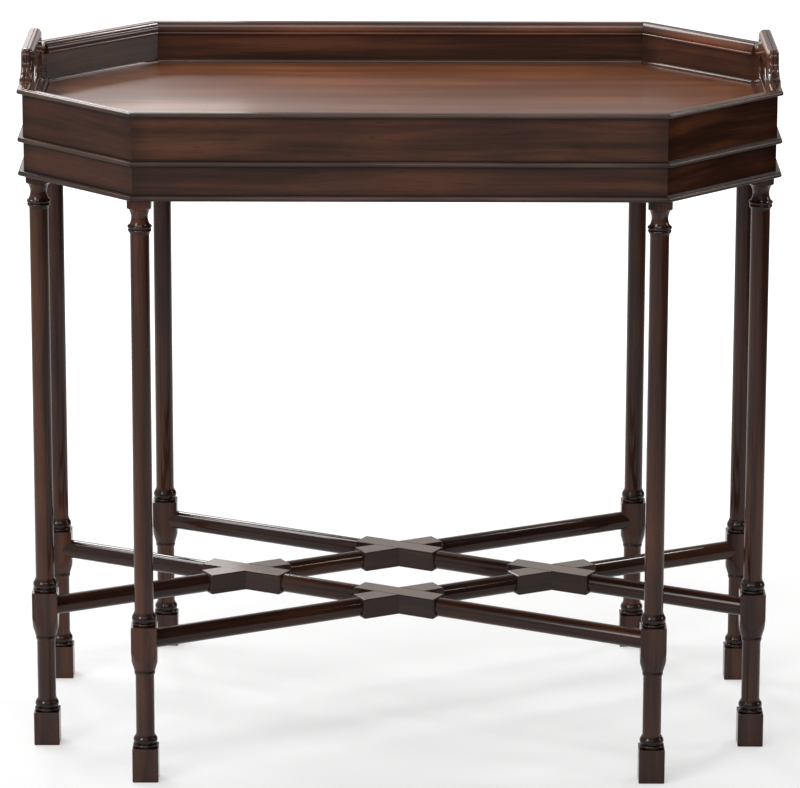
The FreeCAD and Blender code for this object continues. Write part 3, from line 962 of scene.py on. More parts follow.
@dataclass(frozen=True)
class HandleCurve:
    """The line of an end wall's top: level rim, a small lip, a hollow sweep and the raised grip."""

    rim: float
    half_end: float
    lip_hollow: float = 4.0 * MM
    lip_round: float = 8.0 * MM
    lip_turn: float = math.radians(54)
    sweep: float = 36.0 * MM
    sweep_turn: float = math.radians(30)
    neck: float = 11.0 * MM
    shoulder: float = 9.0 * MM
    from_corner: float = 31.8 * MM
    steps: int = 8

    def bends(self, inset: float) -> list[Point2]:
        """The bends from the start of the lip to the end of the shoulder.

        Args:
            inset: How far below the top line.

        Returns:
            Points along and up, from the start of the lip.
        """
        upright = math.pi / 2
        turns = ((self.lip_hollow + inset, self.lip_turn), (self.lip_round - inset, -self.lip_turn),
                 (self.sweep + inset, self.sweep_turn), (self.neck + inset, upright - self.sweep_turn),
                 (self.shoulder - inset, -upright))
        points = [(0.0, self.rim - inset)]
        bearing = 0.0
        for radius, turn in turns:
            side = math.copysign(upright, turn)
            x, z = points[-1]
            centre = (x + radius * math.cos(bearing + side), z + radius * math.sin(bearing + side))
            points.extend(arc_points(centre, radius, bearing - side, bearing - side + turn, self.steps))
            bearing += turn
        return points

    def half_grip(self) -> float:
        """Half the straight length of the grip between its shoulders."""
        return self.half_end - self.from_corner - (self.bends(0.0)[-1][0] - self.shoulder)

    def grip_shares(self) -> list[float]:
        """How far each point of the line belongs to the grip.

        Returns:
            None at the lip, growing to 1 at the neck.
        """
        lead = 2 + 2 * self.steps
        rise = [(step / self.steps) ** 2 * (3 - 2 * step / self.steps) for step in range(1, self.steps + 1)]
        left = [0.0] * lead + rise + [1.0] * (2 * self.steps)
        return left + left[::-1]

    def line(self, inset: float, half: float) -> list[Point2]:
        """The whole line from mitre to mitre.

        Args:
            inset: How far below the top line.
            half: Half the length at this depth.

        Returns:
            Points from left to right.
        """
        bends = self.bends(inset)
        shift = bends[-1][0] - self.shoulder + self.half_grip()
        left = [(-half, self.rim - inset)] + [(x - shift, z) for x, z in bends]
        return left + [(-x, z) for x, z in reversed(left)]


def loft(loops: Sequence[Sequence[int]], closed: bool) -> list[tuple[int, ...]]:
    """Faces between successive loops of vertices.

    Args:
        loops: Vertex numbers of each loop.
        closed: Whether the loops close on themselves.

    Returns:
        The faces.
    """
    faces = []
    for first, second in zip(loops, loops[1:]):
        count = len(first) if closed else len(first) - 1
        for index in range(count):
            after = (index + 1) % len(first)
            faces.append((first[index], first[after], second[after], second[index]))
    return faces


@dataclass
class Tray:
    """The lift-off tray: bottom, walls, rim beads, inner mouldings, floor beads and battens."""

    plan: Octagon
    strips: MitredStrip
    finishes: Finishes
    overhang: float = 0.4 * MM
    wall: float = 7.0 * MM
    inner_round: float = 2.8 * MM
    grip_round: float = 5.7 * MM
    outer_round: float = 1.2 * MM
    bead_height: float = 5.0 * MM
    bead_projection: float = 5.6 * MM
    bead_crown: float = 0.5
    rebate: float = 3.5 * MM
    floor_bead: float = 3.5 * MM
    # Painted shade at the foot of the inner walls, thinning upwards
    shade_reach: float = 18.0 * MM
    shade_depth: float = 0.7
    moulding_drop: float = 3.0 * MM
    moulding_height: float = 10.2 * MM
    moulding_nose: float = 3.0 * MM
    ovolo: float = 11.2 * MM
    ovolo_depth: float = 9.2 * MM
    ovolo_drop: float = 9.0 * MM
    ovolo_start: float = math.radians(51.5)
    quirk: float = 0.5 * MM
    hole_share: float = 0.794
    hole_height: float = 25.0 * MM
    hole_sill: float = 29.5 * MM
    hole_round: float = 2.2 * MM
    arris: float = 0.4 * MM

    def __post_init__(self) -> None:
        """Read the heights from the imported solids."""
        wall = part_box("tray_wall_front")
        self.low = wall[0].z
        self.rim = wall[1].z
        self.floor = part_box("tray_bottom")[1].z
        self.inside = self.overhang - self.wall

    def build(self, nodes: dict[str, bpy.types.Object]) -> None:
        """Make every piece of the tray.

        Args:
            nodes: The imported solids.
        """
        for side, name in enumerate(SIDES):
            if name in END_SIDES:
                self._end(side, name)
            else:
                self._straight(side, name)
        straight = [side for side, name in enumerate(SIDES) if name not in END_SIDES]
        self._run("polished_rim_mouldings", self._moulding_section(), straight, MOULDING_BOARDS,
                  "rim_inner_mouldings", self.finishes.strip_wood_and_painted_light)
        self._run("polished_floor_beads", self._floor_bead_section(), range(len(SIDES)), FLOOR_BEAD_BOARDS,
                  "floor_beads", self.finishes.frame_wood)
        dress_node(nodes["tray_bottom"], self.finishes.floor_wood)
        for name in ("tray_batten_left", "tray_batten_right"):
            dress_node(nodes[name], self.finishes.batten_wood)

    def _dress(self, obj: bpy.types.Object, node: str, finish: Optional[bpy.types.Material] = None) -> None:
        """Give a tray piece its finish, the frame's where no other is named."""
        finish_piece(obj, finish or self.finishes.frame_wood, Body.TRAY, node)

    def _run(self, name: str, outline: Sequence[Point2], sides: Iterable[int], number: int, node: str,
             finish: bpy.types.Material) -> None:
        """Run one moulding round several sides as one piece.

        Args:
            name: The piece's name.
            outline: Its section.
            sides: The sides that it runs along.
            number: The first board's number.
            node: The solid that it stands for.
            finish: Its material.
        """
        parts = [self.strips.run(f"{name}_{side}", outline, self.plan, side, number + side, finish)
                 for side in sides]
        self._dress(joined(name, parts), node, finish)

    def _straight(self, side: int, name: str) -> None:
        """One wall without a handle, and its rim bead.

        Args:
            side: Its side.
            name: The side's name.
        """
        face = self.overhang
        rebate = self.inside + self.rebate
        brow = [(x, z, 0) for x, z in self._ovolo(self.ovolo_start, self._ovolo_joint())]
        bead_low = self.rim - self.bead_height
        section = rounded_outline([
            (face, self.low, self.arris), (face, self.low + EDGE_REACH, 0), (face, bead_low - EDGE_REACH, 0),
            (face, bead_low, 0), (face, self.rim, self.outer_round), (brow[0][0], self.rim, 0), *brow,
            (self.inside, self.floor + self.shade_reach, 0), (self.inside, self.floor + self.floor_bead, 0),
            (self.inside, self.floor, 0), (rebate, self.floor, 0), (rebate, self.low, 0)])
        # Painted shade along the wall's lower edge, under the bead, and at the wall's foot inside
        painted_shade = ShadeLayers((EdgeShade((self.low, bead_low), EDGE_REACH, EDGE_DEPTH),
                             BandShade(self.floor, self.floor, self.shade_reach, self.shade_depth)))
        bead = bead_outline(face, bead_low, self.bead_height, self.bead_projection, self.bead_crown)
        # Painted shade over the bead's lower half
        bead_shade = EdgeShade((bead_low,), self.bead_height / 2, EDGE_DEPTH)
        for kind, outline, first, finish, dark in (
                ("tray_wall_", section, WALL_BOARDS, self.finishes.frame_wood, painted_shade),
                ("rim_bead_", bead, RIM_BEAD_BOARDS, self.finishes.bead_wood_painted_sheen, bead_shade)):
            strip = self.strips.run("polished_" + kind + name, outline, self.plan, side, first + side,
                                    finish, dark)
            self._dress(strip, kind + name, finish)

    def _ovolo_joint(self) -> float:
        """Where the swelling under the rim passes from the wall to the moulding, as an angle."""
        return math.acos(self.ovolo_depth / self.ovolo)

    def _ovolo(self, start: float, end: float) -> list[Point2]:
        """Points of the swelling under the rim.

        Args:
            start: Angle above level where it starts.
            end: Angle where it ends, further down.

        Returns:
            The points, outwards and up, from the top.
        """
        turns = [start + (end - start) * step / ARC_STEPS for step in range(ARC_STEPS + 1)]
        return [(self.inside + self.ovolo_depth - self.ovolo * math.cos(turn),
                 self.rim - self.ovolo_drop + self.ovolo * math.sin(turn)) for turn in turns]

    def _moulding_section(self) -> list[Point2]:
        """The swelling under the rim, with a small bead at its foot.

        Returns:
            The outline's points.
        """
        low = self.rim - self.moulding_drop - self.moulding_height
        nose = self.inside - self.moulding_nose
        half = self.moulding_nose / 2 - WELD
        brow = [(x, z, 0) for x, z in self._ovolo(self._ovolo_joint(), 0.0)]
        top = low + self.moulding_nose
        heel = brow[-1][0] + self.quirk
        return rounded_outline([(self.inside, low, 0), (nose, low, half), (nose, top, half), (heel, top, 0),
                                (heel, top + self.quirk, 0), *brow[::-1]])

    def _floor_bead_section(self) -> list[Point2]:
        """The quarter-round that covers the joint of wall and bottom.

        Returns:
            The outline's points.
        """
        heel = (self.inside, self.floor)
        start = (self.inside, self.floor + self.floor_bead)
        return [heel, start] + arc_points(heel, self.floor_bead, math.pi / 2, math.pi, ARC_STEPS)

    def _end(self, side: int, name: str) -> None:
        """One end wall with its handle, and the bead bent over it.

        Args:
            side: Its side.
            name: The side's name.
        """
        curve = HandleCurve(self.rim, self.plan.half_length(side))
        self._dress(self._end_wall("polished_tray_wall_" + name, side, curve), "tray_wall_" + name)
        self._dress(self._end_bead("polished_rim_bead_" + name, side, curve), "rim_bead_" + name)

    def _half(self, side: int, outwards: float) -> float:
        """Half the length of a side's piece at one depth, short of the mitre by the joint gap."""
        return self.plan.half_length(side) + outwards * MITRE_SLOPE - JOINT_GAP

    def _placed(self, name: str, side: int, local: Sequence[Vector], faces: Sequence[Sequence[int]],
                number: int) -> bpy.types.Object:
        """Move a piece drawn along X to its side.

        Args:
            name: The piece's name.
            side: Its side.
            local: Its vertices, along, inwards and up.
            faces: Its faces.
            number: The board's number, for its grain.

        Returns:
            The piece.
        """
        place = self.plan.place(side)
        grain = [point + board_shift(number) for point in local]
        return new_object(name, mesh_of(name, [place @ point for point in local], faces, grain))

    def _end_wall(self, name: str, side: int, curve: HandleCurve) -> bpy.types.Object:
        """An end wall: rounds over the top edges, a rebate below, and a hand hole with rounded edges.

        Args:
            name: The piece's name.
            side: Its side.
            curve: The line of its top.

        Returns:
            The wall.
        """
        quarter = quarter_round(ARC_STEPS)
        seat = (self.inside + self.rebate, self.inside + self.grip_round)
        rounds = (self.inner_round, self.grip_round)
        shell = [self._shell_loop(side, curve, (self.outer_round * drop,) * 2,
                                  (self.overhang - self.outer_round * cut,) * 2, self.low)
                 for drop, cut in quarter]
        shell += [self._shell_loop(side, curve, (0.0, 0.0), seat, low) for low in (self.low, self.floor)]
        shell += [self._shell_loop(side, curve, tuple(size * drop for size in rounds),
                                   tuple(self.inside + size * cut for size in rounds), self.floor)
                  for drop, cut in reversed(quarter)]
        lips = [(drop, self.overhang - self.hole_round * cut) for drop, cut in quarter]
        lips += [(drop, self.inside + self.hole_round * cut) for drop, cut in reversed(quarter)]
        bore = [[Vector((x, -outwards, z)) for x, z in self._hole(curve, self.hole_round * drop)]
                for drop, outwards in lips]
        points: list[Vector] = []
        numbers = []
        for loop in shell + bore:
            numbers.append(range(len(points), len(points) + len(loop)))
            points.extend(loop)
        count = len(shell)
        faces = loft(numbers[:count], True) + loft(numbers[count:], True)
        for rim, hole in ((0, count), (count - 1, -1)):
            index = [*numbers[rim], *numbers[hole]]
            loops = [[Vector((points[i].x, points[i].z, 0.0)) for i in numbers[which]]
                     for which in (rim, hole)]
            faces.extend(tuple(index[i] for i in triangle) for triangle in tessellate_polygon(loops))
        return self._placed(name, side, points, faces, WALL_BOARDS + side)

    def _shell_loop(self, side: int, curve: HandleCurve, insets: Point2, outwards: Point2,
                    low: float) -> list[Vector]:
        """One loop round an end wall, its round growing from the level rim to the grip.

        Args:
            side: The wall's side.
            curve: The line of its top.
            insets: How far below the top line, at the level rim and over the grip.
            outwards: How far out, at the level rim and over the grip.
            low: Height of the loop's lower edge.

        Returns:
            Its points, along, inwards and up.
        """
        half = self._half(side, outwards[0])
        level, raised = (curve.line(inset, half) for inset in insets)
        loop = []
        for share, (x, z), (grip_x, grip_z) in zip(curve.grip_shares(), level, raised):
            depth = outwards[0] + (outwards[1] - outwards[0]) * share
            loop.append(Vector((x + (grip_x - x) * share, -depth, z + (grip_z - z) * share)))
        return loop + [Vector((x, -outwards[0], low)) for x in (half, -half)]

    def _hole(self, curve: HandleCurve, grow: float) -> list[Point2]:
        """The outline of a hand hole.

        Args:
            curve: The line of the wall's top, for the grip's length.
            grow: How far outside the hole's own edge.

        Returns:
            The points.
        """
        radius = self.hole_height / 2
        middle = self.low + self.hole_sill + radius
        straight = curve.half_grip() * self.hole_share - radius
        right = arc_points((straight, middle), radius + grow, -math.pi / 2, math.pi / 2, 2 * ARC_STEPS)
        start = (straight, middle - radius - grow)
        return [start] + right + [(-x, z) for x, z in reversed([start] + right)]

    def _end_bead(self, name: str, side: int, curve: HandleCurve) -> bpy.types.Object:
        """The rim bead of an end, bent over the handle.

        Args:
            name: The piece's name.
            side: Its side.
            curve: The line of the wall's top.

        Returns:
            The bead.
        """
        section = bead_outline(self.overhang, 0.0, self.bead_height, self.bead_projection,
                               1 - self.bead_crown)
        points: list[Vector] = []
        lines = []
        for outwards, inset in section:
            line = curve.line(inset, self._half(side, outwards))
            lines.append(range(len(points), len(points) + len(line)))
            points.extend(Vector((x, -outwards, z)) for x, z in line)
        faces = loft([*lines, lines[0]], False)
        for end in (0, -1):
            faces.append(tuple(line[end] for line in lines))
        return self._placed(name, side, points, faces, RIM_BEAD_BOARDS + side)


# Stand


@dataclass(frozen=True)
class Station:
    """One ring of a turned or squared length.

    A ring with a half width is squared, and its corners are turned off at the radius.
    """

    height: float
    radius: float
    half_width: Optional[float] = None
    half_depth: Optional[float] = None


class Ring:
    """Draws rings that are round, squared, or round where a turned cut meets the squared sides."""

    def __init__(self, diagonal: float, arris: float, fan: Sequence[float], even: int) -> None:
        """Choose the directions of a ring's points.

        Args:
            diagonal: Direction of the squared part's corner, in radians.
            arris: Radius of its rounded corners.
            fan: Small angles to each side of the corner that get a point.
            even: Further points to each quarter.
        """
        self.arris = arris
        quarter = {0.0, diagonal}
        quarter.update(diagonal + way * angle for angle in fan for way in (-1, 1))
        quarter.update(math.pi / 2 * step / even for step in range(1, even))
        first = sorted(angle for angle in quarter if angle < math.pi / 2 - fan[0] / 2)
        self.turns = ([*first] + [math.pi - angle for angle in reversed(first) if angle > 0]
                      + [math.pi + angle for angle in first]
                      + [math.tau - angle for angle in reversed(first) if angle > 0])
        self.turns = sorted({round(turn, 6) for turn in self.turns + [math.pi / 2, 3 * math.pi / 2]})

    def points(self, station: Station) -> list[Point2]:
        """The points of one ring."""
        return [(radius * math.cos(turn), radius * math.sin(turn))
                for turn, radius in ((turn, self._radius(turn, station)) for turn in self.turns)]

    def _radius(self, turn: float, station: Station) -> float:
        """How far out a ring's point lies in one direction.

        Args:
            turn: The direction, in radians.
            station: The ring.

        Returns:
            The distance.
        """
        if station.half_width is None:
            return station.radius
        wide = station.half_width
        deep = station.half_depth or wide
        x, y = abs(math.cos(turn)), abs(math.sin(turn))
        flat = min(wide / max(x, WELD), deep / max(y, WELD))
        heart = Vector((wide - self.arris, deep - self.arris))
        along = heart.x * x + heart.y * y
        off = heart.length_squared - along * along
        if flat * x > heart.x and flat * y > heart.y and off < self.arris ** 2:
            flat = along + math.sqrt(self.arris ** 2 - off)
        return min(flat, station.radius)


def stacked(rings: Sequence[Sequence[Vector]]) -> tuple[list[Vector], list[tuple[int, ...]]]:
    """Close a stack of rings into a solid.

    Args:
        rings: The rings in order, all with as many points.

    Returns:
        Its points and faces.
    """
    points = [point for ring in rings for point in ring]
    count = len(rings[0])
    numbers = [range(index * count, (index + 1) * count) for index in range(len(rings))]
    return points, loft(numbers, True) + [tuple(reversed(numbers[0])), tuple(numbers[-1])]


@dataclass(frozen=True)
class RingStack:
    """A turned ring with a bulb over it, given by their radii, and the taper to the shaft."""

    ring: float
    ring_height: float
    bulb: float
    bulb_height: float
    taper: float

    def path(self, low: float, quirk: float, shaft: float) -> list[Point2]:
        """Radius and height from the quirk under the ring to the shaft.

        Args:
            low: Height of the quirk under the ring.
            quirk: Radius of the quirks.
            shaft: Radius of the shaft.

        Returns:
            The points.
        """
        middle, high = self.quirks(low)[1:]
        ring = arc_through((quirk, low), (self.ring, (low + middle) / 2), (quirk, middle), RING_STEPS)
        bulb = arc_through((quirk, middle), (self.bulb, (middle + high) / 2), (quirk, high), BULB_STEPS)
        return [(quirk, low)] + ring + bulb + [(shaft, high + self.taper)]

    def quirks(self, low: float) -> tuple[float, float, float]:
        """Heights of the three quirks."""
        return low, low + self.ring_height, low + self.ring_height + self.bulb_height


@dataclass(frozen=True)
class Cuff:
    """The small ring under a collar, and the start of the collar's turned tongue over it."""

    low: float = 114.0 * MM
    ring: float = 10.8 * MM
    ring_height: float = 5.6 * MM
    quirk: float = 10.1 * MM
    waist: float = 11.0 * MM
    tongue: float = 23.4 * MM

    def high(self) -> float:
        """Height of the quirk over the ring."""
        return self.low + self.ring_height

    def path(self, shaft: float) -> list[Point2]:
        """Radius and height from the shaft to the quirk over the ring.

        Args:
            shaft: Radius of the shaft.

        Returns:
            The points.
        """
        start = (shaft, self.low)
        swell = (self.ring, self.low + self.ring_height / 2)
        return [start] + arc_through(start, swell, (self.quirk, self.high()))


@dataclass(frozen=True)
class LegTurning:
    """The outline of a turned leg, from the floor up.

    Blocks are given by half their width, turned lengths by their radius.
    """

    top: float
    block: float = 13.45 * MM
    foot: float = 36.3 * MM
    foot_rings: RingStack = RingStack(13.0 * MM, 4.0 * MM, 12.5 * MM, 7.0 * MM, 3.2 * MM)
    lower_shaft: float = 9.65 * MM
    collar: float = 133.0 * MM
    collar_height: float = 35.7 * MM
    collar_easing: float = 1.6 * MM
    cuff: Cuff = Cuff()
    collar_rings: RingStack = RingStack(12.3 * MM, 3.0 * MM, 12.75 * MM, 8.2 * MM, 3.7 * MM)
    collar_flare: Point2 = (0.45, 0.40)
    bulb_quirk: float = 11.2 * MM
    shaft: float = 9.9 * MM
    ring_taper: float = 2.8 * MM
    ring_height: float = 3.8 * MM
    quirk: float = 10.7 * MM
    lower_ring: float = 12.0 * MM
    upper_ring: float = 12.5 * MM
    neck: float = 8.6 * MM
    neck_height: float = 16.3 * MM
    capital: float = 12.3 * MM
    capital_height: float = 11.6 * MM
    capital_tongue: float = 3.4 * MM
    capital_flare: Point2 = (0.30, 0.35)
    crown: float = 11.3 * MM
    arris: float = 0.9 * MM
    easing: float = 0.7 * MM
    # Painted shade in the quirks and over the ring stacks
    recess_shade_reach: float = 3.0 * MM
    recess_shade_depth: float = 0.85
    ring_shade_depth: float = 0.75
    fan: tuple[float, ...] = (0.8, 1.8, 3.2, 5.5)
    even_points: int = 12

    def ring(self) -> Ring:
        """The ring drawer that suits the square blocks."""
        return Ring(math.pi / 4, self.arris, [math.radians(angle) for angle in self.fan], self.even_points)

    def stations(self) -> list[Station]:
        """Every ring of the leg."""
        return self._foot() + self._collar() + self._head()

    def _round(self, points: Iterable[Point2]) -> list[Station]:
        """Stations of a turned length."""
        return [Station(height, radius) for radius, height in points]

    def _eased(self, height: float, way: int) -> list[Station]:
        """The eased end of a square block.

        Args:
            height: Height of the end.
            way: 1 at the block's foot, -1 at its top.

        Returns:
            The rings, from below.
        """
        rings = [Station(height + way * self.easing * drop, self.block * 2, self.block - self.easing * cut)
                 for drop, cut in quarter_round(EASE_STEPS)]
        return rings[::-1] if way > 0 else rings

    def _tongue(self, low: float, tongue: float, width: float, waist: float,
                flare: Point2) -> list[Station]:
        """The lower corners of a block, turned down to a waist.

        Args:
            low: Where the turning starts.
            tongue: How far up it runs.
            width: Half the block's width.
            waist: Radius at the start.
            flare: A point on the way, as shares of the height and of the radius.

        Returns:
            The rings.
        """
        corner = width * math.sqrt(2)
        hip = (waist + (corner - waist) * flare[1], low + tongue * flare[0])
        curve = arc_through((waist, low), hip, (corner, low + tongue), TONGUE_STEPS)
        return [Station(height, radius, width) for radius, height in [(waist, low)] + curve]

    def _foot(self) -> list[Station]:
        """Foot block and the rings over it."""
        rings = self.foot_rings.path(self.foot, self.bulb_quirk, self.lower_shaft)
        return self._eased(0.0, 1) + self._eased(self.foot, -1) + self._round(rings)

    def _collar(self) -> list[Station]:
        """Cuff, collar block with its turned tongue, and the rings over it up to the shaft.

        Returns:
            The rings.
        """
        top = self.collar + self.collar_height
        corner = self.block * math.sqrt(2)
        ease = self.collar_easing
        eased = [Station(top - ease, corner, self.block),
                 Station(top - ease * EASE_SHARES[0], corner - ease * EASE_SHARES[1], self.block),
                 Station(top, corner - ease, self.block - self.easing)]
        cuff = self._round(self.cuff.path(self.lower_shaft))
        tongue = self._tongue(self.cuff.high(), self.cuff.tongue, self.block, self.cuff.waist,
                              self.collar_flare)
        return cuff + tongue + eased + self._round(self.collar_rings.path(top, self.bulb_quirk, self.shaft))

    def painted_shade(self) -> ShadeLayers:
        """Painted shade in the turned recesses and over the ring stacks.

        Returns:
            Its lines and bands.
        """
        neck = self.top - self.capital_height - self.neck_height
        quirks = (self.cuff.high(), neck - 2 * self.ring_height, neck - self.ring_height, neck)
        bands = [BandShade(low, rings.quirks(low)[2], rings.taper, self.ring_shade_depth)
                 for low, rings in ((self.foot, self.foot_rings),
                                    (self.collar + self.collar_height, self.collar_rings))]
        return ShadeLayers((EdgeShade(quirks, self.recess_shade_reach, self.recess_shade_depth), *bands))

    def _head(self) -> list[Station]:
        """Rings, neck and capital up to the apron.

        Returns:
            The rings.
        """
        capital = self.top - self.capital_height
        neck = capital - self.neck_height
        joint = neck - self.ring_height
        low = joint - self.ring_height
        path = [(self.shaft, low - self.ring_taper), (self.quirk, low)]
        for radius, base in ((self.lower_ring, low), (self.upper_ring, joint)):
            path += arc_through((self.quirk, base), (radius, base + self.ring_height / 2),
                                (self.quirk, base + self.ring_height), RING_STEPS)
        waist = (self.neck, (neck + capital) / 2)
        path += arc_through((self.quirk, neck), waist, (self.crown, capital), NECK_STEPS)
        tongue = self._tongue(capital, self.capital_tongue, self.capital, self.crown, self.capital_flare)
        return self._round(path) + tongue + [Station(self.top, self.capital * 2, self.capital)]


@dataclass(frozen=True)
class StretcherTurning:
    """A round rod, squared where it crosses its neighbours."""

    height: float
    rod: float = 10.0 * MM
    half_width: float = 12.7 * MM
    half_depth: float = 10.7 * MM
    half_block: float = 49.0 * MM
    shoulder: float = 2.4 * MM
    arris: float = 0.9 * MM
    tenon: float = 8.0 * MM
    lap_gap: float = 0.05 * MM
    slope: float = 0.0107
    fan: tuple[float, ...] = (0.9, 2.0, 3.6, 6.0)
    even_points: int = 10

    def ring(self) -> Ring:
        """The ring drawer that suits the squared parts."""
        diagonal = math.atan2(self.half_depth, self.half_width)
        return Ring(diagonal, self.arris, [math.radians(angle) for angle in self.fan], self.even_points)

    def stations(self, length: float, crossings: Sequence[float]) -> list[Station]:
        """Every ring from leg axis to leg axis.

        Args:
            length: Distance between the leg axes.
            crossings: Where along it the blocks lie.

        Returns:
            The rings, with their place along the rod as height.
        """
        rings = [Station(self.tenon, self.rod)]
        quarter = quarter_round(SHOULDER_STEPS)
        for centre in sorted(crossings):
            for way, order in ((-1, quarter), (1, quarter[::-1])):
                face = centre + way * self.half_block
                rim = [Station(face - way * self.shoulder * cut, self.half_block,
                               self.half_width - self.shoulder * drop,
                               self.half_depth - self.shoulder * drop) for drop, cut in order]
                round_end = [Station(face, self.rod)]
                rings += round_end + rim if way < 0 else rim + round_end
        return rings + [Station(length - self.tenon, self.rod)]


@dataclass
class Stand:
    """The stand: mitred apron with its beads, eight turned legs, crossing stretchers, corner blocks."""

    plan: Octagon
    strips: MitredStrip
    finishes: Finishes
    bead_height: float = 5.3 * MM
    bead_projection: float = 6.0 * MM
    thickness: float = 24.0 * MM
    arris: float = 0.5 * MM
    over_pairs: tuple[tuple[str, str], ...] = (("front_right", "left_back"), ("right_front", "back_left"))
    under_pairs: tuple[tuple[str, str], ...] = (("front_left", "right_back"), ("left_front", "back_right"))

    def __post_init__(self) -> None:
        """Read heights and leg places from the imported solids."""
        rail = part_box("apron_rail_front")
        self.low, self.high = rail[0].z, rail[1].z
        self.legs = {}
        for y_name in ("front", "back"):
            for x_name in ("left", "right"):
                for name in (f"{y_name}_{x_name}", f"{x_name}_{y_name}"):
                    low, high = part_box("leg_" + name)
                    self.legs[name] = Vector(((low.x + high.x) / 2, (low.y + high.y) / 2))
        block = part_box(self._stretcher_node(self.over_pairs[0]))
        self.stretcher = StretcherTurning((block[0].z + block[1].z) / 2)

    def build(self, nodes: dict[str, bpy.types.Object]) -> None:
        """Make every piece of the stand.

        Args:
            nodes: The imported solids.
        """
        for side, name in enumerate(SIDES):
            self._rail(side, name)
        for number, name in enumerate(self.legs):
            self._leg(number, name)
        for number, pair in enumerate(self.over_pairs + self.under_pairs):
            self._stretcher(number, pair)
        dress_node(nodes["corner_blocks"], self.finishes.block_wood)

    def _stretcher_node(self, pair: tuple[str, str]) -> str:
        """The name of the solid that ties two legs."""
        return f"stretcher_{pair[0]}_to_{pair[1]}"

    def _dress(self, obj: bpy.types.Object, node: str, finish: bpy.types.Material) -> None:
        """Give a stand piece its finish."""
        finish_piece(obj, finish, Body.STAND, node)

    def _rail(self, side: int, name: str) -> None:
        """One rail of the apron and its two beads.

        Args:
            side: Its side.
            name: The side's name.
        """
        edges = (self.low + self.bead_height, self.high - self.bead_height)
        face = [self.low, edges[0], edges[0] + EDGE_REACH, edges[1] - EDGE_REACH, edges[1], self.high]
        back = [(-self.thickness, height, self.arris) for height in (self.high, self.low)]
        section = rounded_outline([(0.0, height, 0) for height in face] + back)
        # Painted shade along the rail's edges at the beads, and over each bead's lower half
        strips = [("apron_rail_", section, self.finishes.frame_wood,
                   EdgeShade(edges, EDGE_REACH, EDGE_DEPTH))]
        for kind, low in (("apron_top_bead_", edges[1]), ("apron_low_bead_", self.low)):
            strips.append((kind, bead_outline(0.0, low, self.bead_height, self.bead_projection),
                           self.finishes.bead_wood_painted_sheen, EdgeShade((low,), self.bead_height / 2, EDGE_DEPTH)))
        for number, (kind, outline, finish, painted_shade) in enumerate(strips):
            board = APRON_BOARDS + APRON_BOARD_STEP * number + side
            strip = self.strips.run("polished_" + kind + name, outline, self.plan, side, board, finish,
                                    painted_shade)
            self._dress(strip, kind + name, finish)

    def _leg(self, number: int, name: str) -> None:
        """One turned leg.

        Args:
            number: Its number, for its grain.
            name: Its name.
        """
        turning = LegTurning(self.low)
        ring = turning.ring()
        rings = [[Vector((x, y, station.height)) for x, y in ring.points(station)]
                 for station in turning.stations()]
        local, faces = stacked(rings)
        foot = self.legs[name].to_3d()
        grain = [Vector((point.z, point.x, point.y)) + board_shift(LEG_BOARDS + number) for point in local]
        # Painted shade in the turning's recesses, per vertex
        painted_shade = turning.painted_shade()
        shade_amounts = [painted_shade.at(point.z) for point in local]
        mesh = mesh_of("polished_leg_" + name, [point + foot for point in local], faces, grain, shade_amounts)
        self._dress(new_object("polished_leg_" + name, mesh), "leg_" + name, self.finishes.leg_wood)

    def _meeting(self, pair: tuple[str, str], other: tuple[str, str]) -> float:
        """Where another stretcher crosses one.

        Args:
            pair: The legs that the stretcher ties.
            other: The legs that the other one ties.

        Returns:
            How far along the stretcher they meet.
        """
        start, end = (self.legs[name] for name in pair)
        way = (end - start).normalized()
        cross = (self.legs[other[1]] - self.legs[other[0]]).normalized()
        gap = self.legs[other[0]] - start
        return gap.cross(cross) / way.cross(cross)

    def _stretcher(self, number: int, pair: tuple[str, str]) -> None:
        """One stretcher, half lapped with those that cross it.

        Args:
            number: Its number, for its grain.
            pair: The legs that it ties.
        """
        node = self._stretcher_node(pair)
        name = "polished_" + node
        rod = self.stretcher
        upper = pair in self.over_pairs
        others = self.under_pairs if upper else self.over_pairs
        start, end = (self.legs[leg].to_3d() for leg in pair)
        way = (end - start).normalized()
        across = Vector((-way.y, way.x, 0.0))
        crossings = [self._meeting(pair, other) for other in others]
        base = start + Vector((0.0, 0.0, rod.height))
        ring = rod.ring()
        local = [[Vector((station.height, x, y)) for x, y in ring.points(station)]
                 for station in rod.stations((end - start).length, crossings)]
        points, faces = stacked(local)
        grain = [point + board_shift(ROD_BOARDS + ROD_BOARD_STEP * number) for point in points]
        placed = [base + way * p.x + across * p.y + Vector((0.0, 0.0, p.z)) for p in points]
        obj = new_object(name, mesh_of(name, placed, faces, grain))
        cutters = [self._lap(base + way * spot, other, upper) for spot, other in zip(crossings, others)]
        for cutter in cutters:
            modifier = obj.modifiers.new("lap", "BOOLEAN")
            modifier.operation = "DIFFERENCE"
            modifier.solver = "EXACT"
            modifier.object = cutter
        baked(obj)
        for cutter in cutters:
            bpy.data.objects.remove(cutter)
        for corner in obj.data.vertices:
            corner.co.z -= rod.slope * corner.co.y
        self._dress(obj, node, self.finishes.rod_wood_painted_shade)

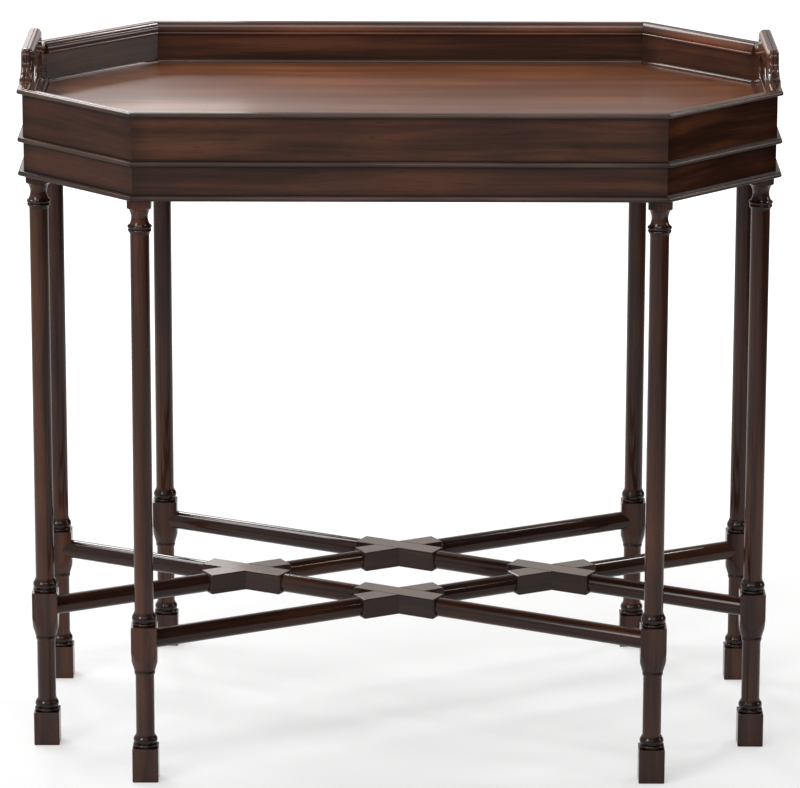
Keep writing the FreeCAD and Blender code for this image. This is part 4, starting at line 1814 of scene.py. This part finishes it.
    def _lap(self, centre: Vector, other: tuple[str, str], upper: bool) -> bpy.types.Object:
        """The block that is cut out of a stretcher where another passes.

        Args:
            centre: Where they cross.
            other: The legs that the other one ties.
            upper: Whether the cut takes the lower half.

        Returns:
            The cutter.
        """
        rod = self.stretcher
        start, end = (self.legs[leg] for leg in other)
        turn = math.atan2(end.y - start.y, end.x - start.x)
        tall = 2 * rod.half_depth
        lift = -tall / 2 if upper else tall / 2
        size = Matrix.Diagonal((2 * rod.half_block, 2 * (rod.half_width + rod.lap_gap), tall, 1.0))
        place = Matrix.Translation(centre + Vector((0.0, 0.0, lift))) @ Matrix.Rotation(turn, 4, "Z") @ size
        build = bmesh.new()
        bmesh.ops.create_cube(build, size=1.0, matrix=place)
        return new_object("lap", mesh_from(build, "lap"))


# Studio


@dataclass(frozen=True)
class Softbox:
    """A flat studio lamp with four square corners, aimed at a point."""

    name: str
    place: Point3
    target: Point3
    width: float
    height: float
    radiance: float
    colour: Colour = (1.0, 1.0, 1.0)

    def build(self) -> None:
        """Hang the lamp."""
        lamp = bpy.data.lights.new(self.name, "AREA")
        lamp.shape = "RECTANGLE"
        lamp.size, lamp.size_y = self.width, self.height
        lamp.energy = self.radiance * math.pi * self.width * self.height
        lamp.color = self.colour
        obj = bpy.data.objects.new(self.name, lamp)
        obj.location = self.place
        obj.rotation_euler = (Vector(self.target) - Vector(self.place)).to_track_quat("-Z", "Y").to_euler()
        bpy.context.scene.collection.objects.link(obj)


# Where most lamps point, and the lamps, of which back_low lights the tops of the stretchers
TABLE_TOP = (0.0, 0.0, 0.62)
LAMPS = (
    Softbox("back_left_high", (-0.72, 2.6, 2.0), TABLE_TOP, 0.5, 0.4, 22.0),
    Softbox("back_low", (0.0, 2.0, 0.78), (0.0, 0.0, 0.16), 1.6, 0.4, 0.55, (1.0, 0.82, 0.68)),
    Softbox("back_left_low", (-0.9, 3.2, 1.35), TABLE_TOP, 1.3, 0.9, 1.3, (1.0, 0.95, 0.93)),
    Softbox("upper_left", (-1.04, 0.79, 2.04), (0.32, 0.19, 0.7), 0.9, 0.55, 10.0),
    Softbox("upper_right", (1.25, 0.9, 2.3), (-0.32, 0.19, 0.7), 0.32, 0.32, 24.0),
    Softbox("right_low", (2.8, 0.2, 1.15), TABLE_TOP, 0.9, 0.6, 4.0),
    Softbox("right_rim", (2.2, 0.3, 1.9), TABLE_TOP, 0.22, 0.22, 14.0),
    Softbox("front_right", (2.1, -1.0, 2.1), TABLE_TOP, 0.16, 0.16, 28.0),
    Softbox("front_top", (-0.2, -2.2, 3.0), TABLE_TOP, 2.4, 1.0, 3.0),
    Softbox("front_key", (-2.6, -2.7, 2.6), TABLE_TOP, 1.4, 1.4, 6.5))


@dataclass
class Studio:
    """Camera, lamps, world and pale floor.

    The floor's ranges are places in metres, and the world's range is a share of a direction.
    """

    image_width: int = 800
    focal_pixels: float = 4932.9
    camera_place: Point3 = (0.0007, -5.1019, 1.7121)
    pitch: float = -0.2602
    roll: float = 0.0022
    sensor: float = 36.0
    clip_end: float = 100.0
    world_range: Point2 = (-0.2, 0.75)
    world_levels: Point2 = (0.52, 0.05)
    floor_reach: float = 30.0
    floor_drop: float = 0.3 * MM
    floor_colour: Colour = (0.60, 0.60, 0.60)
    floor_shade: Colour = (0.03, 0.03, 0.03)
    shade_range: Point2 = (0.9, 2.0)
    shade_lift: float = 0.5
    lift_range: Point2 = (0.2, 2.2)
    lift_levels: Point2 = (0.45, 0.9)
    mirror_sides: Point2 = (1.3, 2.6)
    mirror_front: Point2 = (-1.6, -0.6)
    mirror_share: float = 0.3

    def build(self) -> None:
        """Set up the studio."""
        self._camera()
        self._world()
        self._floor()
        for lamp in LAMPS:
            lamp.build()
        bpy.context.scene.view_settings.view_transform = "Standard"

    def _camera(self) -> None:
        """Stand the camera where the photograph was taken."""
        data = bpy.data.cameras.new("camera")
        data.sensor_width = self.sensor
        data.lens = self.focal_pixels * self.sensor / self.image_width
        data.clip_end = self.clip_end
        obj = bpy.data.objects.new("camera", data)
        tilt = Matrix.Rotation(math.pi / 2 + self.pitch, 4, "X") @ Matrix.Rotation(self.roll, 4, "Z")
        obj.matrix_world = Matrix.Translation(self.camera_place) @ tilt
        bpy.context.scene.collection.objects.link(obj)
        bpy.context.scene.camera = obj

    def _world(self) -> None:
        """A world that looks white and lights evenly, except from its darker right side."""
        world = bpy.data.worlds.new("studio")
        world.use_nodes = True
        writer = TreeWriter(world.node_tree)
        background = world.node_tree.nodes["Background"]
        background.inputs["Color"].default_value = (1.0, 1.0, 1.0, 1.0)
        way = writer.add("ShaderNodeSeparateXYZ", {0: writer.add("ShaderNodeTexCoord").outputs["Generated"]})
        level = writer.span(way.outputs["X"], *self.world_range, *self.world_levels)
        camera = writer.add("ShaderNodeLightPath").outputs["Is Camera Ray"]
        writer.feed(background.inputs["Strength"], writer.math("MAXIMUM", level, camera))
        bpy.context.scene.world = world

    def _floor(self) -> None:
        """A pale floor that looks white, keeps the table's shadow and is clear from below."""
        build = bmesh.new()
        bmesh.ops.create_grid(build, x_segments=1, y_segments=1, size=self.floor_reach)
        mesh = mesh_from(build, "studio_floor")
        floor = new_object("studio_floor", mesh)
        floor.location.z = -self.floor_drop
        material, writer, shader = new_material("pale_floor")
        material.node_tree.nodes.remove(shader)
        path = writer.add("ShaderNodeLightPath").outputs
        place = writer.add("ShaderNodeTexCoord").outputs["Object"]
        spot = writer.add("ShaderNodeSeparateXYZ", {0: place}).outputs
        sides = writer.span(writer.math("ABSOLUTE", spot["X"]), *self.mirror_sides, 1.0, 0.0)
        front = writer.span(spot["Y"], *self.mirror_front)
        level = writer.span(spot["Y"], *self.lift_range, *self.lift_levels)
        dark = writer.span(spot["X"], *self.shade_range)
        mirrored = writer.math("MAXIMUM", path["Is Glossy Ray"], path["Is Transmission Ray"])
        near = writer.math("MULTIPLY", writer.math("MULTIPLY", sides, front), self.mirror_share)
        shown = writer.math("MULTIPLY", writer.math("MULTIPLY", mirrored, near), level)
        lifted = writer.math("MULTIPLY_ADD", dark, self.shade_lift, level)
        seen = writer.math("MULTIPLY", path["Is Camera Ray"], lifted)
        colour = writer.blend(dark, self.floor_colour, self.floor_shade)
        matt = writer.add("ShaderNodeBsdfDiffuse", {"Color": colour}).outputs[0]
        glow = writer.add("ShaderNodeEmission", {"Strength": writer.math("ADD", seen, shown)}).outputs[0]
        both = writer.add("ShaderNodeAddShader", {0: matt, 1: glow}).outputs[0]
        clear = writer.add("ShaderNodeBsdfTransparent").outputs[0]
        below = writer.add("ShaderNodeNewGeometry").outputs["Backfacing"]
        sided = writer.add("ShaderNodeMixShader", {0: below, 1: both, 2: clear}).outputs[0]
        writer.feed(material.node_tree.nodes["Material Output"].inputs["Surface"], sided)
        mesh.materials.append(material)


def clear_scene() -> None:
    """Remove what Blender starts with."""
    for obj in list(bpy.data.objects):
        bpy.data.objects.remove(obj)


def main() -> None:
    """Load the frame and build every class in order."""
    logging.basicConfig(level=logging.INFO, format="%(name)s: %(message)s")
    clear_scene()
    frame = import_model()
    plan = Octagon.from_frame()
    strips = MitredStrip()
    finishes = Finishes()
    Tray(plan, strips, finishes).build(frame["nodes"])
    Stand(plan, strips, finishes).build(frame["nodes"])
    for name in ("batten_screws", "corner_block_screws"):
        dress_node(frame["nodes"][name], finishes.steel)
    Studio().build()


if __name__ == "__main__":
    main()
